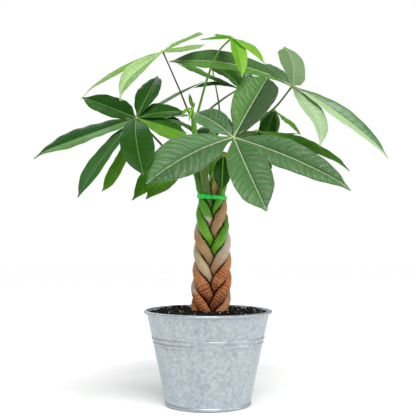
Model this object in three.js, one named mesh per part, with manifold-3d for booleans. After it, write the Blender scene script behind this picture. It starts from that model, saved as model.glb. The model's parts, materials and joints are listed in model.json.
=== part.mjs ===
// A money tree in a galvanised metal pot: seven stems braided together, a green tie round the top of
// the braid, and palmate leaves on long stalks. Millimetres, +Z up, the front towards -Y.
// The origin is the middle of the pot's flat base, on the surface that it stands on.
import * as THREE from 'three';
import Module from 'manifold-3d';

const wasm = await Module();
wasm.setup();

const GAP = 0.3; // left between pieces that touch in the real thing
const TURN = 2 * Math.PI;

// ---------------------------------------------------------------- small vector helpers

const vec = (p) => new THREE.Vector3(p[0], p[1], p[2]);
const mix = (a, b, t) => a + (b - a) * t;

/** The value at x of a curve given as [x, value] pairs, straight between them. */
function along(curve, x) {
  if (x <= curve[0][0]) return curve[0][1];
  for (let i = 1; i < curve.length; i += 1) {
    const [x0, v0] = curve[i - 1];
    const [x1, v1] = curve[i];
    if (x <= x1) return mix(v0, v1, (x - x0) / (x1 - x0));
  }
  return curve[curve.length - 1][1];
}

/** The part of direction that is square to axis, with length 1. */
function squareTo(direction, axis) {
  const flat = direction.clone().addScaledVector(axis, -direction.dot(axis));
  return flat.normalize();
}

// ---------------------------------------------------------------- closed bodies from rings

/**
 * A closed body through rings of points. Each ring goes anticlockwise seen against the way the rings
 * advance. From side number `mirrored` on, the quads are cut along their other diagonal.
 */
function loft(rings, mirrored = Infinity) {
  const count = rings[0].length;
  const corners = [];
  rings.forEach((ring) => ring.forEach((p) => corners.push(p.x, p.y, p.z)));
  const faces = [];
  for (let i = 0; i + 1 < rings.length; i += 1) {
    for (let j = 0; j < count; j += 1) {
      const a = i * count + j;
      const b = i * count + ((j + 1) % count);
      const c = b + count;
      const d = a + count;
      if (j < mirrored) faces.push(a, b, c, a, c, d);
      else faces.push(a, b, d, b, c, d);
    }
  }
  const last = (rings.length - 1) * count;
  for (let j = 1; j + 1 < count; j += 1) {
    faces.push(0, j + 1, j);
    faces.push(last, last + j, last + j + 1);
  }
  return solid(corners, faces);
}

/** A manifold body from flat lists of coordinates and corner numbers. */
function solid(corners, faces) {
  const mesh = new wasm.Mesh({
    numProp: 3,
    vertProperties: new Float32Array(corners),
    triVerts: new Uint32Array(faces),
  });
  return new wasm.Manifold(mesh);
}

/** A manifold body from a closed three.js geometry. */
function solidOf(geometry) {
  const plain = geometry.clone();
  plain.deleteAttribute('normal');
  plain.deleteAttribute('uv');
  const merged = mergeCorners(plain);
  return solid(merged.corners, merged.faces);
}

/** Joins the corners of a geometry that lie in the same place, and drops faces without area. */
function mergeCorners(geometry) {
  const place = geometry.attributes.position;
  const index = geometry.index ? geometry.index.array : [...Array(place.count).keys()];
  const seen = new Map();
  const corners = [];
  const number = [];
  for (let i = 0; i < place.count; i += 1) {
    const at = [place.getX(i), place.getY(i), place.getZ(i)];
    const key = at.map((v) => Math.round(v * 1e4)).join();
    if (!seen.has(key)) {
      seen.set(key, corners.length / 3);
      corners.push(...at);
    }
    number.push(seen.get(key));
  }
  const faces = [];
  for (let i = 0; i < index.length; i += 3) {
    const [a, b, c] = [number[index[i]], number[index[i + 1]], number[index[i + 2]]];
    if (a !== b && b !== c && c !== a) faces.push(a, b, c);
  }
  return { corners, faces };
}

/** A three.js geometry with the faces of a manifold body. */
function geometryOf(body) {
  const mesh = body.getMesh();
  const geometry = new THREE.BufferGeometry();
  const corners = [];
  for (let i = 0; i < mesh.numVert; i += 1) {
    corners.push(...mesh.vertProperties.slice(i * mesh.numProp, i * mesh.numProp + 3));
  }
  geometry.setAttribute('position', new THREE.Float32BufferAttribute(corners, 3));
  geometry.setIndex([...mesh.triVerts]);
  geometry.computeVertexNormals();
  return geometry;
}

/** Rings round a line of points, each square to the line, with reach(i, direction) as their radius. */
function ringsRound(line, sides, reach) {
  let across = squareTo(new THREE.Vector3(1, 0.02, 0), tangent(line, 0));
  return line.map((middle, i) => {
    const ahead = tangent(line, i);
    across = squareTo(across, ahead);
    const other = ahead.clone().cross(across);
    const ring = [];
    for (let j = 0; j < sides; j += 1) {
      const turn = (TURN * j) / sides;
      const out = across.clone().multiplyScalar(Math.cos(turn)).addScaledVector(other, Math.sin(turn));
      ring.push(middle.clone().addScaledVector(out, reach(i, out)));
    }
    return ring;
  });
}

function tangent(line, i) {
  const before = line[Math.max(i - 1, 0)];
  const after = line[Math.min(i + 1, line.length - 1)];
  return after.clone().sub(before).normalize();
}

/** A tube along a smooth curve through points, its radius going evenly from first to last. */
function tube(points, first, last, steps, sides) {
  const curve = new THREE.CatmullRomCurve3(points, false, 'centripetal');
  const line = curve.getPoints(steps);
  return loft(ringsRound(line, sides, (i) => mix(first, last, i / steps)));
}

// ---------------------------------------------------------------- pot

const POT = {
  height: 121,
  rimRadius: 82.5,
  wallTop: 79.5, // outer radius of the wall's cone at the height of the rim
  wallBottom: 53.6, // outer radius of the same cone at the ground
  seam: 55.4, // outer radius of the rolled base seam
  sheet: 1.2,
  rimBead: 2.1, // radius of the rolled edge
  slabTop: 4, // upper side of the base, inside
};

/** Outer radius of the plain cone of the wall at height z. */
const coneRadius = (z) => mix(POT.wallBottom, POT.wallTop, z / POT.height);

/** Raised beads rolled into the wall: height of the middle, how far they stand out. */
const BEADS = [[86, 1.0], [80.2, 1.0]];

/** The wall and its rolled rim, one sheet, standing on the base seam. */
function potWall() {
  const outside = [[POT.seam - 1, 0], [POT.seam, 1.2], [POT.seam, 3.8], [coneRadius(5.2), 5.2]];
  outside.push([coneRadius(40), 40]);
  [...BEADS].reverse().forEach(([z, out]) => {
    outside.push([coneRadius(z - 2.6), z - 2.6], [coneRadius(z) + out, z]);
    outside.push([coneRadius(z + 2.6), z + 2.6]);
  });
  const bead = { x: POT.rimRadius - POT.rimBead, z: POT.height - POT.rimBead };
  for (let step = 0; step <= 8; step += 1) {
    const turn = mix(-0.74, 0.92, step / 8) * Math.PI;
    outside.push([bead.x + POT.rimBead * Math.cos(turn), bead.z + POT.rimBead * Math.sin(turn)]);
  }
  const inside = [[coneRadius(112) - POT.sheet, 114], [coneRadius(60) - POT.sheet, 60]];
  inside.push([coneRadius(8) - POT.sheet, 8], [POT.wallBottom - POT.sheet, POT.slabTop + GAP]);
  inside.push([POT.wallBottom - POT.sheet, 0]);
  const profile = [...outside, ...inside].map(([r, z]) => new THREE.Vector2(r, z));
  profile.push(profile[0].clone());
  return turned(profile, 36);
}

/** The pressed base inside the seam, with a flat underside to stand on. */
function potBase() {
  const edge = POT.wallBottom - POT.sheet - GAP;
  const profile = [[0, 0], [edge, 0], [edge, POT.slabTop], [edge - 9, POT.slabTop]];
  profile.push([edge - 11, 2.6], [0, 2.6], [0, 0]);
  return turned(profile.map(([r, z]) => new THREE.Vector2(r, z)), 32);
}

/** A body turned round the Z axis from a closed outline of (radius, height), anticlockwise. */
function turned(profile, sides) {
  const geometry = new THREE.LatheGeometry(profile, sides);
  geometry.rotateX(Math.PI / 2);
  return solidOf(geometry);
}

// ---------------------------------------------------------------- soil

const SOIL = { top: 119.2, bottom: 4.6, rings: 5, sides: 32 };

/** Height of the soil's surface: a low mound with shallow lumps. */
function soilHeight(radius, turn) {
  const mound = 1.6 * Math.cos((radius / 78) * (Math.PI / 2));
  const lumps = 0.9 * Math.sin(3 * turn + 0.11 * radius) + 0.7 * Math.sin(7 * turn - 0.23 * radius + 1);
  const edge = Math.min(1, (78 - radius) / 12);
  return SOIL.top - 1.5 + mound + lumps * Math.max(edge, 0.15);
}

/** The soil that fills the pot, a body of rings from the base up and over to the middle. */
function soil(holes) {
  const wall = (z) => coneRadius(z) - POT.sheet - 2 * GAP;
  const rings = [];
  const level = (radius, z) => {
    const ring = [];
    for (let j = 0; j < SOIL.sides; j += 1) {
      const turn = (TURN * j) / SOIL.sides;
      const height = z === null ? soilHeight(radius, turn) : z;
      ring.push(new THREE.Vector3(radius * Math.cos(turn), radius * Math.sin(turn), height));
    }
    rings.push(ring);
  };
  level(wall(0), SOIL.bottom);
  level(wall(60), 60);
  const edge = wall(113);
  level(edge - 1.2, null);
  for (let i = SOIL.rings - 1; i > 0; i -= 1) level((edge * i) / SOIL.rings, null);
  level(2, null);
  return loft(rings).subtract(holes);
}

// ---------------------------------------------------------------- braided stems

const BRAID = {
  strands: 7,
  period: 170.1, // height in which one stem goes round and comes back
  straight: 0.08, // how far its way from side to side is from a wave to a straight zigzag
  depth: 0.68, // how deep the braid is for its width
  start: 239.5, // height at which the first stem dives under at the front, from the right
  foot: 100, // the stems end here, under the soil
  soilLevel: 118,
  top: 268, // the braid ends here, just above the tie
};

// Half the trunk's width, a stem's radius and the trunk's middle, each at a height.
const HALF_WIDTH = [
  [118, 24.9], [152, 25.9], [187, 24.4], [214, 23.7], [236, 21.2], [256, 19.5], [270, 19.2],
];
const STEM_RADIUS = [[118, 7.4], [160, 7.0], [210, 6.3], [240, 5.8], [268, 5.4]];
const GIRTH = [0.88, 1.22, 0.96, 1.04, 1.04, 0.98, 0.98]; // each stem's radius as a share of that
const TRUNK_MIDDLE = [[118, 3.2], [150, 4.3], [185, 5.6], [268, 5.2]];

/** Middle of one braided stem at a height: outside to middle at the front, and back outside behind. */
function braidPoint(strand, height) {
  const z = Math.max(height, BRAID.soilLevel);
  const fallen = (BRAID.start - z) / BRAID.period;
  const turn = TURN * (0.25 + fallen - strand / BRAID.strands);
  const swing = along(HALF_WIDTH, z) - along(STEM_RADIUS, z) * GIRTH[strand];
  const side = (Math.cos(turn) + BRAID.straight * Math.cos(3 * turn)) / (1 + BRAID.straight);
  const x = along(TRUNK_MIDDLE, z) + swing * side;
  return new THREE.Vector3(x, -BRAID.depth * swing * Math.sin(2 * turn), height);
}

// Each stem above the braid: the points its middle passes and its radius at the top.
const STEM_TOPS = [
  { points: [[21, -9, 286], [24, -13, 302], [23, -17, 314]], radius: 3.4 },
  { points: [[17, 14, 290], [27, 19, 318], [37, 24, 346], [40, 27, 366]], radius: 2.6 },
  { points: [[6, 6, 292], [5, 14, 322], [8, 24, 350], [9, 29, 366]], radius: 2.6 },
  { points: [[-5, -10, 293], [-12, -9, 320], [-17, -7, 348], [-19, -6, 373]], radius: 3.0 },
  { points: [[-13, 9, 291], [-22, 13, 315], [-33, 19, 340], [-37, 22, 352]], radius: 2.4 },
  { points: [[-3, 14, 288], [-5, 19, 306]], radius: 3.4 },
  { points: [[9, -3, 286], [10, -4, 304]], radius: 3.8 },
];

/** The middle line of a stem: straight up out of the soil, through the braid and on to its top. */
function stemLine(strand) {
  const line = [];
  [BRAID.foot, BRAID.foot + 9].forEach((z) => line.push(braidPoint(strand, z)));
  const steps = 18;
  for (let i = 0; i <= steps; i += 1) {
    line.push(braidPoint(strand, mix(BRAID.soilLevel, BRAID.top, i / steps)));
  }
  const last = line.slice(-2);
  const upper = [...last, ...STEM_TOPS[strand].points.map(vec)];
  const curve = new THREE.CatmullRomCurve3(upper, false, 'centripetal');
  const count = 3 * (upper.length - 1);
  for (let i = 4; i <= count; i += 1) line.push(curve.getPoint(i / count));
  return line;
}

const LINES = STEM_TOPS.map((top, strand) => stemLine(strand));

/** A stem's own radius at a height, before its neighbours press on it. */
function freeRadius(strand, z) {
  const top = LINES[strand][LINES[strand].length - 1].z;
  const braided = along(STEM_RADIUS, z) * GIRTH[strand];
  return z <= BRAID.top ? braided : mix(braided, STEM_TOPS[strand].radius, (z - BRAID.top) / (top - BRAID.top));
}

/** The same lines with points close together and the radius at each, to measure the room beside them. */
const CLOSE_LINES = LINES.map((line, strand) => {
  const points = [];
  for (let i = 0; i + 1 < line.length; i += 1) {
    for (let s = 0; s < 4; s += 1) {
      const place = line[i].clone().lerp(line[i + 1], s / 4);
      points.push({ place, radius: freeRadius(strand, place.z) });
    }
  }
  return points;
});

/** How far outside the nearest other stem's own round surface a point is, below 0 inside it. */
function nearestOther(strand, point) {
  let best = Infinity;
  CLOSE_LINES.forEach((points, other) => {
    if (other === strand) return;
    points.forEach(({ place, radius }) => {
      if (Math.abs(place.z - point.z) < 18) best = Math.min(best, place.distanceTo(point) - radius);
    });
  });
  return best;
}

const PRESS = {
  least: 1.5, // a stem is never thinner than this on any side
  step: 0.25, // how finely the room is measured
  room: 1.5, // how much further a surface stays from the others' round surfaces than from its own
  tieRadius: 16.8, // what fits inside the tie at its own height
  tieSlope: 0.2, // how fast that widens above and below the tie
  tieReach: 14, // how far above and below the tie it squeezes the stems
};

/** How far the stem reaches in one direction: its radius, or where the next stem or the tie stops it. */
function pressedRadius(strand, i, direction) {
  const middle = LINES[strand][i];
  const full = freeRadius(strand, middle.z);
  let reach = PRESS.least;
  for (let r = reach; r <= full; r += PRESS.step) {
    const point = middle.clone().addScaledVector(direction, r);
    const fromTie = Math.abs(point.z - TIE.height);
    const fromAxis = Math.hypot(point.x - along(TRUNK_MIDDLE, point.z), point.y);
    if (nearestOther(strand, point) < r - full + PRESS.room) break;
    if (fromTie < PRESS.tieReach && fromAxis > PRESS.tieRadius + PRESS.tieSlope * fromTie) break;
    reach = r;
  }
  return reach;
}

const STEM_SIDES = 8;

/** One stem as a closed body, with its surface and both ends moved out by `extra`. */
function stem(strand, extra = 0) {
  const line = LINES[strand];
  const rings = ringsRound(line, STEM_SIDES, (i, out) => pressedRadius(strand, i, out) + extra);
  const end = line.length - 1;
  rings[0].forEach((p) => p.addScaledVector(tangent(line, 0), -extra));
  rings[end].forEach((p) => p.addScaledVector(tangent(line, end), extra));
  return loft(rings);
}

// ---------------------------------------------------------------- tie

const TIE = { height: 265.5, band: 5.2, thickness: 0.9, inner: 18.1, tilt: -0.07 };

/** The green tie: a flat band held round all seven stems, a little lower at the right. */
function tie() {
  const { band, thickness, inner, tilt } = TIE;
  const outline = [];
  const ends = [[inner, -band / 2], [inner + thickness, -band / 2], [inner + thickness + 0.5, 0]];
  ends.push([inner + thickness, band / 2], [inner, band / 2], [inner, -band / 2]);
  ends.forEach(([r, z]) => outline.push(new THREE.Vector2(r, z)));
  const ring = turned(outline, 28).rotate([0, THREE.MathUtils.radToDeg(-tilt), 0]);
  return ring.translate([along(TRUNK_MIDDLE, TIE.height), 0, TIE.height]);
}

// ---------------------------------------------------------------- leaves

// Share of the length from the stalk, and of the half-width there.
const BLADE = [[0, 0.06], [0.07, 0.18], [0.24, 0.72], [0.5, 1], [0.72, 0.88], [0.89, 0.42], [1, 0.04]];
const BLADE_THICKNESS = 0.8;
const UP = new THREE.Vector3(0, 0, 1);

/** A share of the length, moved so that the widest place of the blade, at 0.5, comes to `peak`. */
function moved(t, peak) {
  return t < 0.5 ? (t * peak) / 0.5 : peak + ((t - 0.5) * (1 - peak)) / 0.5;
}

/**
 * One leaflet. `face` is the way its upper side looks, `arch` how far it bulges that way between its
 * ends, `bow` how far it bulges to its side, `fold` the angle by which both halves rise from the
 * midrib, `roll` its turn about the midrib, `twist` what is added to that towards the tip, `drip` how
 * far the thin tip hangs and `peak` the share of the length at which it is widest. `skew` moves the
 * highest place of the bulge towards the stalk, and `slant` moves one half's edge towards the tip and
 * the other's back. Angles in degrees.
 */
function leaflet(hub, blade) {
  const { tip, width, face, arch = 8, bow = 0, fold = 14, twist = 0, roll = 0, drip = 0 } = blade;
  const { skew = 0, slant = 0 } = blade;
  const start = vec(hub);
  const chord = vec(tip).sub(start);
  const lift = squareTo(vec(face), chord.clone().normalize());
  const aside = chord.clone().normalize().cross(lift);
  const middle = (t) => {
    const hang = drip * Math.max(0, (t - 0.84) / 0.16) ** 2;
    const bulge = 4 * t * (1 - t) * (1 + skew * (1 - 2 * t));
    const point = start.clone().addScaledVector(chord, t).addScaledVector(UP, -hang);
    return point.addScaledVector(lift, arch * bulge).addScaledVector(aside, bow * bulge);
  };
  const rings = BLADE.map(([station, share]) => {
    const t = moved(station, blade.peak ?? 0.5);
    const ahead = middle(t + 0.01).sub(middle(t - 0.01)).normalize();
    const turn = THREE.MathUtils.degToRad(roll + twist * t);
    const normal = squareTo(lift, ahead).applyAxisAngle(ahead, turn);
    const side = ahead.clone().cross(normal);
    const half = Math.max((width / 2) * share, 0.8);
    const thick = BLADE_THICKNESS / 2 + 0.5 * Math.max(0, 1 - t / 0.12);
    const rise = THREE.MathUtils.degToRad(fold * Math.min(1, 3 * share));
    const edge = (sign, phase) => {
      const ripple = 0.06 * half * Math.sin(TURN * (1.7 * t + phase));
      const point = middle(t).addScaledVector(side, sign * half * Math.cos(rise));
      point.addScaledVector(ahead, sign * slant * half * Math.cos(rise));
      point.addScaledVector(normal, half * Math.sin(rise) + ripple);
      const out = normal.clone().multiplyScalar(Math.cos(rise));
      out.addScaledVector(side, -sign * Math.sin(rise));
      return [point.clone().addScaledVector(out, thick), point.clone().addScaledVector(out, -thick)];
    };
    const [leftTop, leftUnder] = edge(-1, 0.1 + width / 90);
    const [rightTop, rightUnder] = edge(1, 0.55 + width / 70);
    const top = middle(t).addScaledVector(normal, thick);
    const under = middle(t).addScaledVector(normal, -thick);
    return [leftTop, top, rightTop, rightUnder, under, leftUnder];
  });
  return loft(rings, 3);
}

/** A leafy stalk: petiole from the stem, the knob where the leaflets meet, and the leaflets. */
function frond({ root, bends = [], hub, thick = [1.9, 1.1], blades }) {
  const path = [root, ...bends, hub].map(vec);
  const steps = 3 * (path.length - 1);
  const knob = new THREE.IcosahedronGeometry(thick[1] + 1.3, 0).translate(...hub);
  const parts = [tube(path, thick[0], thick[1], steps, 5), solidOf(knob)];
  blades.forEach((blade) => parts.push(leaflet(hub, blade)));
  return parts.reduce((whole, part) => whole.add(part));
}

// The leafy stalks, named by where they hang. Those on the -Y side face the viewer.
const FRONDS = {
  frond_left: {
    root: [-14, 10, 294], bends: [[-45, 0, 318], [-68, -22, 341]], hub: [-88, -45, 361],
    blades: [
      { tip: [-66, 15, 424], width: 31, face: [-0.3, -0.9, 0.4], arch: 4, bow: 2.5, fold: 10 },
      { tip: [-165, 20, 397], width: 34, face: [0, -0.9, 0.5], arch: 0.5, bow: 0.5, peak: 0.38 },
      { tip: [-210, -70, 313], width: 43, face: [-0.2, -0.55, 0.8], arch: 1.5, fold: 6, drip: 4, peak: 0.43 },
      { tip: [-151, -110, 261], width: 28, face: [-0.4, -0.75, 0.55], arch: 4, bow: 1, fold: 16, peak: 0.6 },
      { tip: [-73, -132, 285], width: 41, face: [0, -0.7, 0.7], arch: 12, bow: 4, peak: 0.67 },
      { tip: [-31, -6, 375], width: 32, face: [0, -0.7, 0.7], arch: 4, bow: 1 },
      { tip: [-26, -48, 342], width: 36, face: [0.1, -0.75, 0.7], arch: 1, fold: -6, peak: 0.64, slant: 0.5 },
      { tip: [-134, -20, 272], width: 20, face: [-0.4, -0.85, 0.3], arch: 2, bow: -9, peak: 0.65 },
      { tip: [-6, 112, 434], width: 12, face: [0, 0.1, 1], arch: 0.5, fold: 20, peak: 0.42 },
    ],
  },
  frond_high_left: {
    root: [-18, -6, 362], bends: [[-25, -4, 375], [-36, -4, 402]], hub: [-58, -6, 452], thick: [1.5, 0.8],
    blades: [
      { tip: [-153, -70, 386], width: 14, face: [-0.3, 0.42, 1], arch: 3, drip: 6, peak: 0.42 },
      { tip: [-101, -105, 374], width: 28, face: [-0.6, 0.65, 0.5], arch: 11.5, skew: -0.6, peak: 0.7 },
      { tip: [-6, 60, 489], width: 28, face: [0, 0.28, 1], arch: 1 },
      { tip: [-4, -75, 446], width: 18, face: [0.1, 0.08, 1], arch: -3.5 },
    ],
  },
  frond_front: {
    root: [23, -16, 310], bends: [[26, -45, 314], [29, -80, 322]], hub: [30, -95, 332], thick: [2.2, 1.5],
    blades: [
      {
        tip: [-70, -130, 276], width: 55, face: [-0.05, -0.88, 0.5], arch: 6, bow: 3.5, fold: 10,
        peak: 0.56, slant: 0.12,
      },
      { tip: [-17, -45, 368], width: 36, face: [-0.1, -0.7, 0.7], arch: 5, fold: 12 },
      {
        tip: [74, -45, 412], width: 52, face: [-0.1, -0.95, 0.3], arch: 6, bow: 1, fold: 16, peak: 0.6,
        slant: 0.05,
      },
      {
        tip: [161, -135, 271], width: 40, face: [0.12, -0.95, 0.42], arch: 7, bow: -1, fold: 12, drip: 3,
        peak: 0.45,
      },
      {
        tip: [64, -170, 244], width: 51, face: [0.1, -0.85, 0.5], arch: 6, bow: 3, fold: 10, peak: 0.6,
        slant: 0.2,
      },
      { tip: [-1, -8, 377], width: 28, face: [0.1, -0.4, 0.8], arch: 1 },
    ],
  },
  frond_right: {
    root: [35, 22, 342], bends: [[58, 16, 361], [86, 2, 381]], hub: [107, -15, 406], thick: [1.8, 1.1],
    blades: [
      {
        tip: [90, -90, 440], width: 31, face: [-0.15, 0.6, 0.8], arch: 4, bow: -6, fold: 8, peak: 0.3,
        slant: 1.3,
      },
      { tip: [221, -50, 315], width: 27, face: [0.3, -0.8, 0.6], arch: 7, bow: 0.3, fold: 18, drip: 3 },
      {
        tip: [135, -70, 327], width: 29, face: [0.4, -1, 0.2], arch: 2, bow: -8, skew: -0.8, fold: 16,
        twist: -12, drip: 3, peak: 0.47,
      },
      { tip: [-53, 62, 452], width: 37, face: [0, -0.82, 0.6], arch: 9.5, bow: 8, skew: 0.1, peak: 0.62 },
      { tip: [62, 34, 443], width: 24, face: [0, -0.6, 0.85], arch: 3 },
      { tip: [180, 58, 377], width: 18, face: [0.2, 0.3, 0.95], arch: 1 },
    ],
  },
  frond_young_top: {
    root: [-18, -7, 360], hub: [30, -20, 466],
    bends: [[-13, -8, 374], [-3, -9, 410], [6.5, -13, 436], [16, -16, 453]],
    thick: [1.7, 1.1],
    blades: [
      { tip: [-9, -80, 450.5], width: 20, face: [0, 0.1, 1], arch: 0 },
      { tip: [9, 45, 484], width: 14, face: [0, 0, 1], arch: 0.5 },
      { tip: [41, -80, 405], width: 20, face: [0.2, -0.5, 0.9], arch: 7, fold: 16 },
      { tip: [69, -60, 426], width: 20, face: [0.5, -0.7, 0.5], arch: 4, bow: 3, fold: 14 },
    ],
  },
  frond_back_high: {
    root: [8, 28, 364], bends: [[0, 34, 378], [18, 52, 398]], hub: [43, 72, 417],
    blades: [
      { tip: [0, 66, 446], width: 36, face: [0, -0.6, 0.8], arch: 7 },
      { tip: [-20, 62, 416], width: 18, face: [0, -0.5, 0.9], arch: 5 },
      { tip: [-41, 80, 452], width: 26, face: [0, -0.35, 0.93], arch: -2, peak: 0.7 },
      { tip: [79, 120, 436], width: 34, face: [0.1, -0.2, 1], arch: 8 },
      { tip: [52, 148, 440], width: 38, face: [0, 0.3, 0.95], arch: 12 },
      { tip: [86, 104, 398], width: 28, face: [0.2, 0, 1], arch: 9 },
    ],
  },
  frond_back_top: {
    root: [9, 28, 358], bends: [[15, 54, 380], [12, 106, 420]], hub: [6, 122, 454], thick: [1.5, 0.9],
    blades: [
      { tip: [-30, 152, 468], width: 26, face: [-0.1, 0.1, 1], arch: 5 },
      { tip: [-14, 190, 474], width: 28, face: [0, 0.35, 0.95], arch: 3 },
      { tip: [62, 182, 442], width: 28, face: [0.1, 0.3, 0.95], arch: 10 },
    ],
  },
  frond_right_inner: {
    root: [39, 26, 362], bends: [[58, 34, 372]], hub: [89, 42, 383], thick: [1.6, 1.0],
    blades: [
      { tip: [121, 16, 347], width: 25, face: [0.5, -0.3, 0.8], arch: 0, fold: 8 },
      { tip: [73, 62, 338], width: 24, face: [0, -0.95, 0.2], arch: 4 },
      { tip: [78, 122, 362], width: 22, face: [0.1, 0.4, 0.9], arch: 2 },
      { tip: [88, 92, 350], width: 18, face: [0.4, 0.2, 0.9], arch: 2 },
    ],
  },
  frond_right_low: {
    root: [26, 19, 316], bends: [[42, 20, 336]], hub: [63, 18, 353], thick: [1.7, 1.1],
    blades: [
      { tip: [179, -18, 303], width: 30, face: [0.2, -0.55, 0.8], arch: 4, drip: 5, peak: 0.45 },
      { tip: [132, 48, 302], width: 32, face: [0.5, -0.2, 0.8], arch: 7 },
      { tip: [70, 44, 292], width: 32, face: [0.2, -0.7, 0.5], arch: 6 },
      { tip: [38, 92, 318], width: 28, face: [0.1, 0.3, 0.9], arch: 9 },
    ],
  },
  frond_young_low: {
    root: [22, -13, 305], bends: [[19, -28, 313]], hub: [19, -43, 316], thick: [1.4, 1.0],
    blades: [
      { tip: [17, -66, 271], width: 22, face: [-0.1, -0.95, 0.3], arch: 3, fold: 8 },
      { tip: [2, -53, 284], width: 3, face: [-0.3, -0.9, 0.3], arch: 2 },
      { tip: [5, -41, 275], width: 4, face: [-0.3, -0.9, 0.3], arch: -3 },
    ],
  },
  frond_left_low: {
    root: [-10, -9, 314], bends: [[-24, -22, 322]], hub: [-38, -36, 328],
    blades: [
      { tip: [-91, -76, 259], width: 33, face: [-0.3, -0.8, 0.6], arch: 4, bow: -6 },
      { tip: [-73, -92, 260], width: 38, face: [0, -0.8, 0.6], arch: 4, bow: -8 },
      { tip: [-32, -80, 285], width: 28, face: [0.2, -0.8, 0.6], arch: 6 },
      { tip: [-88, -10, 298], width: 28, face: [-0.2, -0.4, 0.9], arch: 5 },
    ],
  },
  frond_back_left: {
    root: [-35, 21, 347], bends: [[-46, 44, 364]], hub: [-59, 76, 377],
    blades: [
      { tip: [-96, 152, 380], width: 34, face: [-0.3, 0.1, 0.95], arch: 2 },
      { tip: [-48, 180, 362], width: 32, face: [-0.1, 0.3, 0.9], arch: 5 },
      { tip: [-18, 140, 361], width: 34, face: [0.1, -0.45, 0.9], arch: 3 },
      { tip: [-28, 130, 388], width: 28, face: [0.1, -0.4, 0.9], arch: 1 },
    ],
  },
  frond_back_low: {
    root: [5, 16, 326], bends: [[2, 54, 334]], hub: [-6, 104, 336], thick: [2.0, 1.3],
    blades: [
      { tip: [-88, 116, 296], width: 38, face: [-0.3, -0.1, 0.9], arch: 11 },
      { tip: [-58, 176, 291], width: 40, face: [-0.3, 0.6, 0.7], arch: 13 },
      { tip: [14, 206, 292], width: 42, face: [0.1, 0.6, 0.8], arch: 14 },
      { tip: [62, 144, 290], width: 40, face: [0.4, 0.1, 0.9], arch: 11 },
      { tip: [10, 172, 376], width: 34, face: [0, -0.3, 0.95], arch: 8 },
    ],
  },
  frond_back_right: {
    root: [23, 18, 308], bends: [[44, 48, 316]], hub: [76, 96, 330], thick: [1.9, 1.2],
    blades: [
      { tip: [170, 118, 296], width: 38, face: [0.4, 0, 0.9], arch: 14, drip: 4 },
      { tip: [142, 178, 304], width: 38, face: [0.4, 0.5, 0.8], arch: 10 },
      { tip: [74, 190, 300], width: 36, face: [0, 0.5, 0.8], arch: 12 },
      { tip: [66, 44, 282], width: 28, face: [0.3, -0.5, 0.7], arch: 6 },
      { tip: [132, 150, 364], width: 28, face: [0.2, 0, 1], arch: 6 },
    ],
  },
};

// The bud and young bracts at the top of the tallest stem.
const SHOOT = {
  root: [-19, -6, 371], bends: [], hub: [-20, -8, 379], thick: [1.9, 1.2],
  blades: [
    { tip: [-24, -12, 397], width: 5, face: [0, -0.95, 0.1], arch: 1.5, fold: 20 },
    { tip: [-18, -13, 386], width: 4, face: [0.5, -0.8, 0.1], arch: 1, fold: 20 },
    { tip: [-33, -22, 368], width: 7, face: [-0.3, -0.8, 0.5], arch: 2, fold: 16 },
    { tip: [-24, -24, 360], width: 4, face: [0, -0.8, 0.5], arch: 2, fold: 16 },
  ],
};

// ---------------------------------------------------------------- the part

const COLOURS = {
  zinc: 0xb4bcc4, earth: 0x1d1815, greenStem: 0x5c8a35, brownStem: 0x8f7350, tie: 0x12d944,
  darkLeaf: 0x2f6a24, leaf: 0x4d7f49, paleLeaf: 0x9dc07f, youngLeaf: 0x83c22b,
};

/** Adds one named body to the part, with a material of its own. */
function put(part, name, body, colour, metal = 0) {
  const material = new THREE.MeshStandardMaterial({ color: colour, roughness: 0.5, metalness: metal });
  const mesh = new THREE.Mesh(geometryOf(body), material);
  mesh.name = name;
  part.add(mesh);
}

const FROND_COLOURS = {
  frond_front: COLOURS.leaf,
  frond_high_left: COLOURS.paleLeaf,
  frond_young_top: COLOURS.youngLeaf,
  frond_young_low: COLOURS.youngLeaf,
};

const part = new THREE.Group();
part.name = 'potted_money_tree';

const roomy = LINES.map((line, strand) => stem(strand, GAP));
const stems = LINES.map((line, strand) => {
  const before = roomy.slice(0, strand);
  return before.reduce((body, room) => body.subtract(room), stem(strand));
});
const stemRoom = roomy.reduce((all, one) => all.add(one));

put(part, 'pot_wall', potWall(), COLOURS.zinc, 0.8);
put(part, 'pot_base', potBase(), COLOURS.zinc, 0.8);
put(part, 'soil', soil(stemRoom), COLOURS.earth);
stems.forEach((body, strand) => {
  const colour = strand === 1 || strand === 6 ? COLOURS.brownStem : COLOURS.greenStem;
  put(part, `stem_${strand + 1}`, body, colour);
});
put(part, 'tie_band', tie(), COLOURS.tie);
Object.entries(FRONDS).forEach(([name, plan]) => {
  put(part, name, frond(plan).subtract(stemRoom), FROND_COLOURS[name] ?? COLOURS.darkLeaf);
});
put(part, 'shoot_tip', frond(SHOOT).subtract(stemRoom), COLOURS.youngLeaf);

export default part;
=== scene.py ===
"""The looks of the potted money tree: fine leaves, bark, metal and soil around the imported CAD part.

Lengths and places in the tables are millimetres in the CAD model's frame: +Z up, the photograph's side
towards -Y, the origin in the middle of the pot's underside. `add_piece` turns them into metres.
"""
import json
import math

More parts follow.
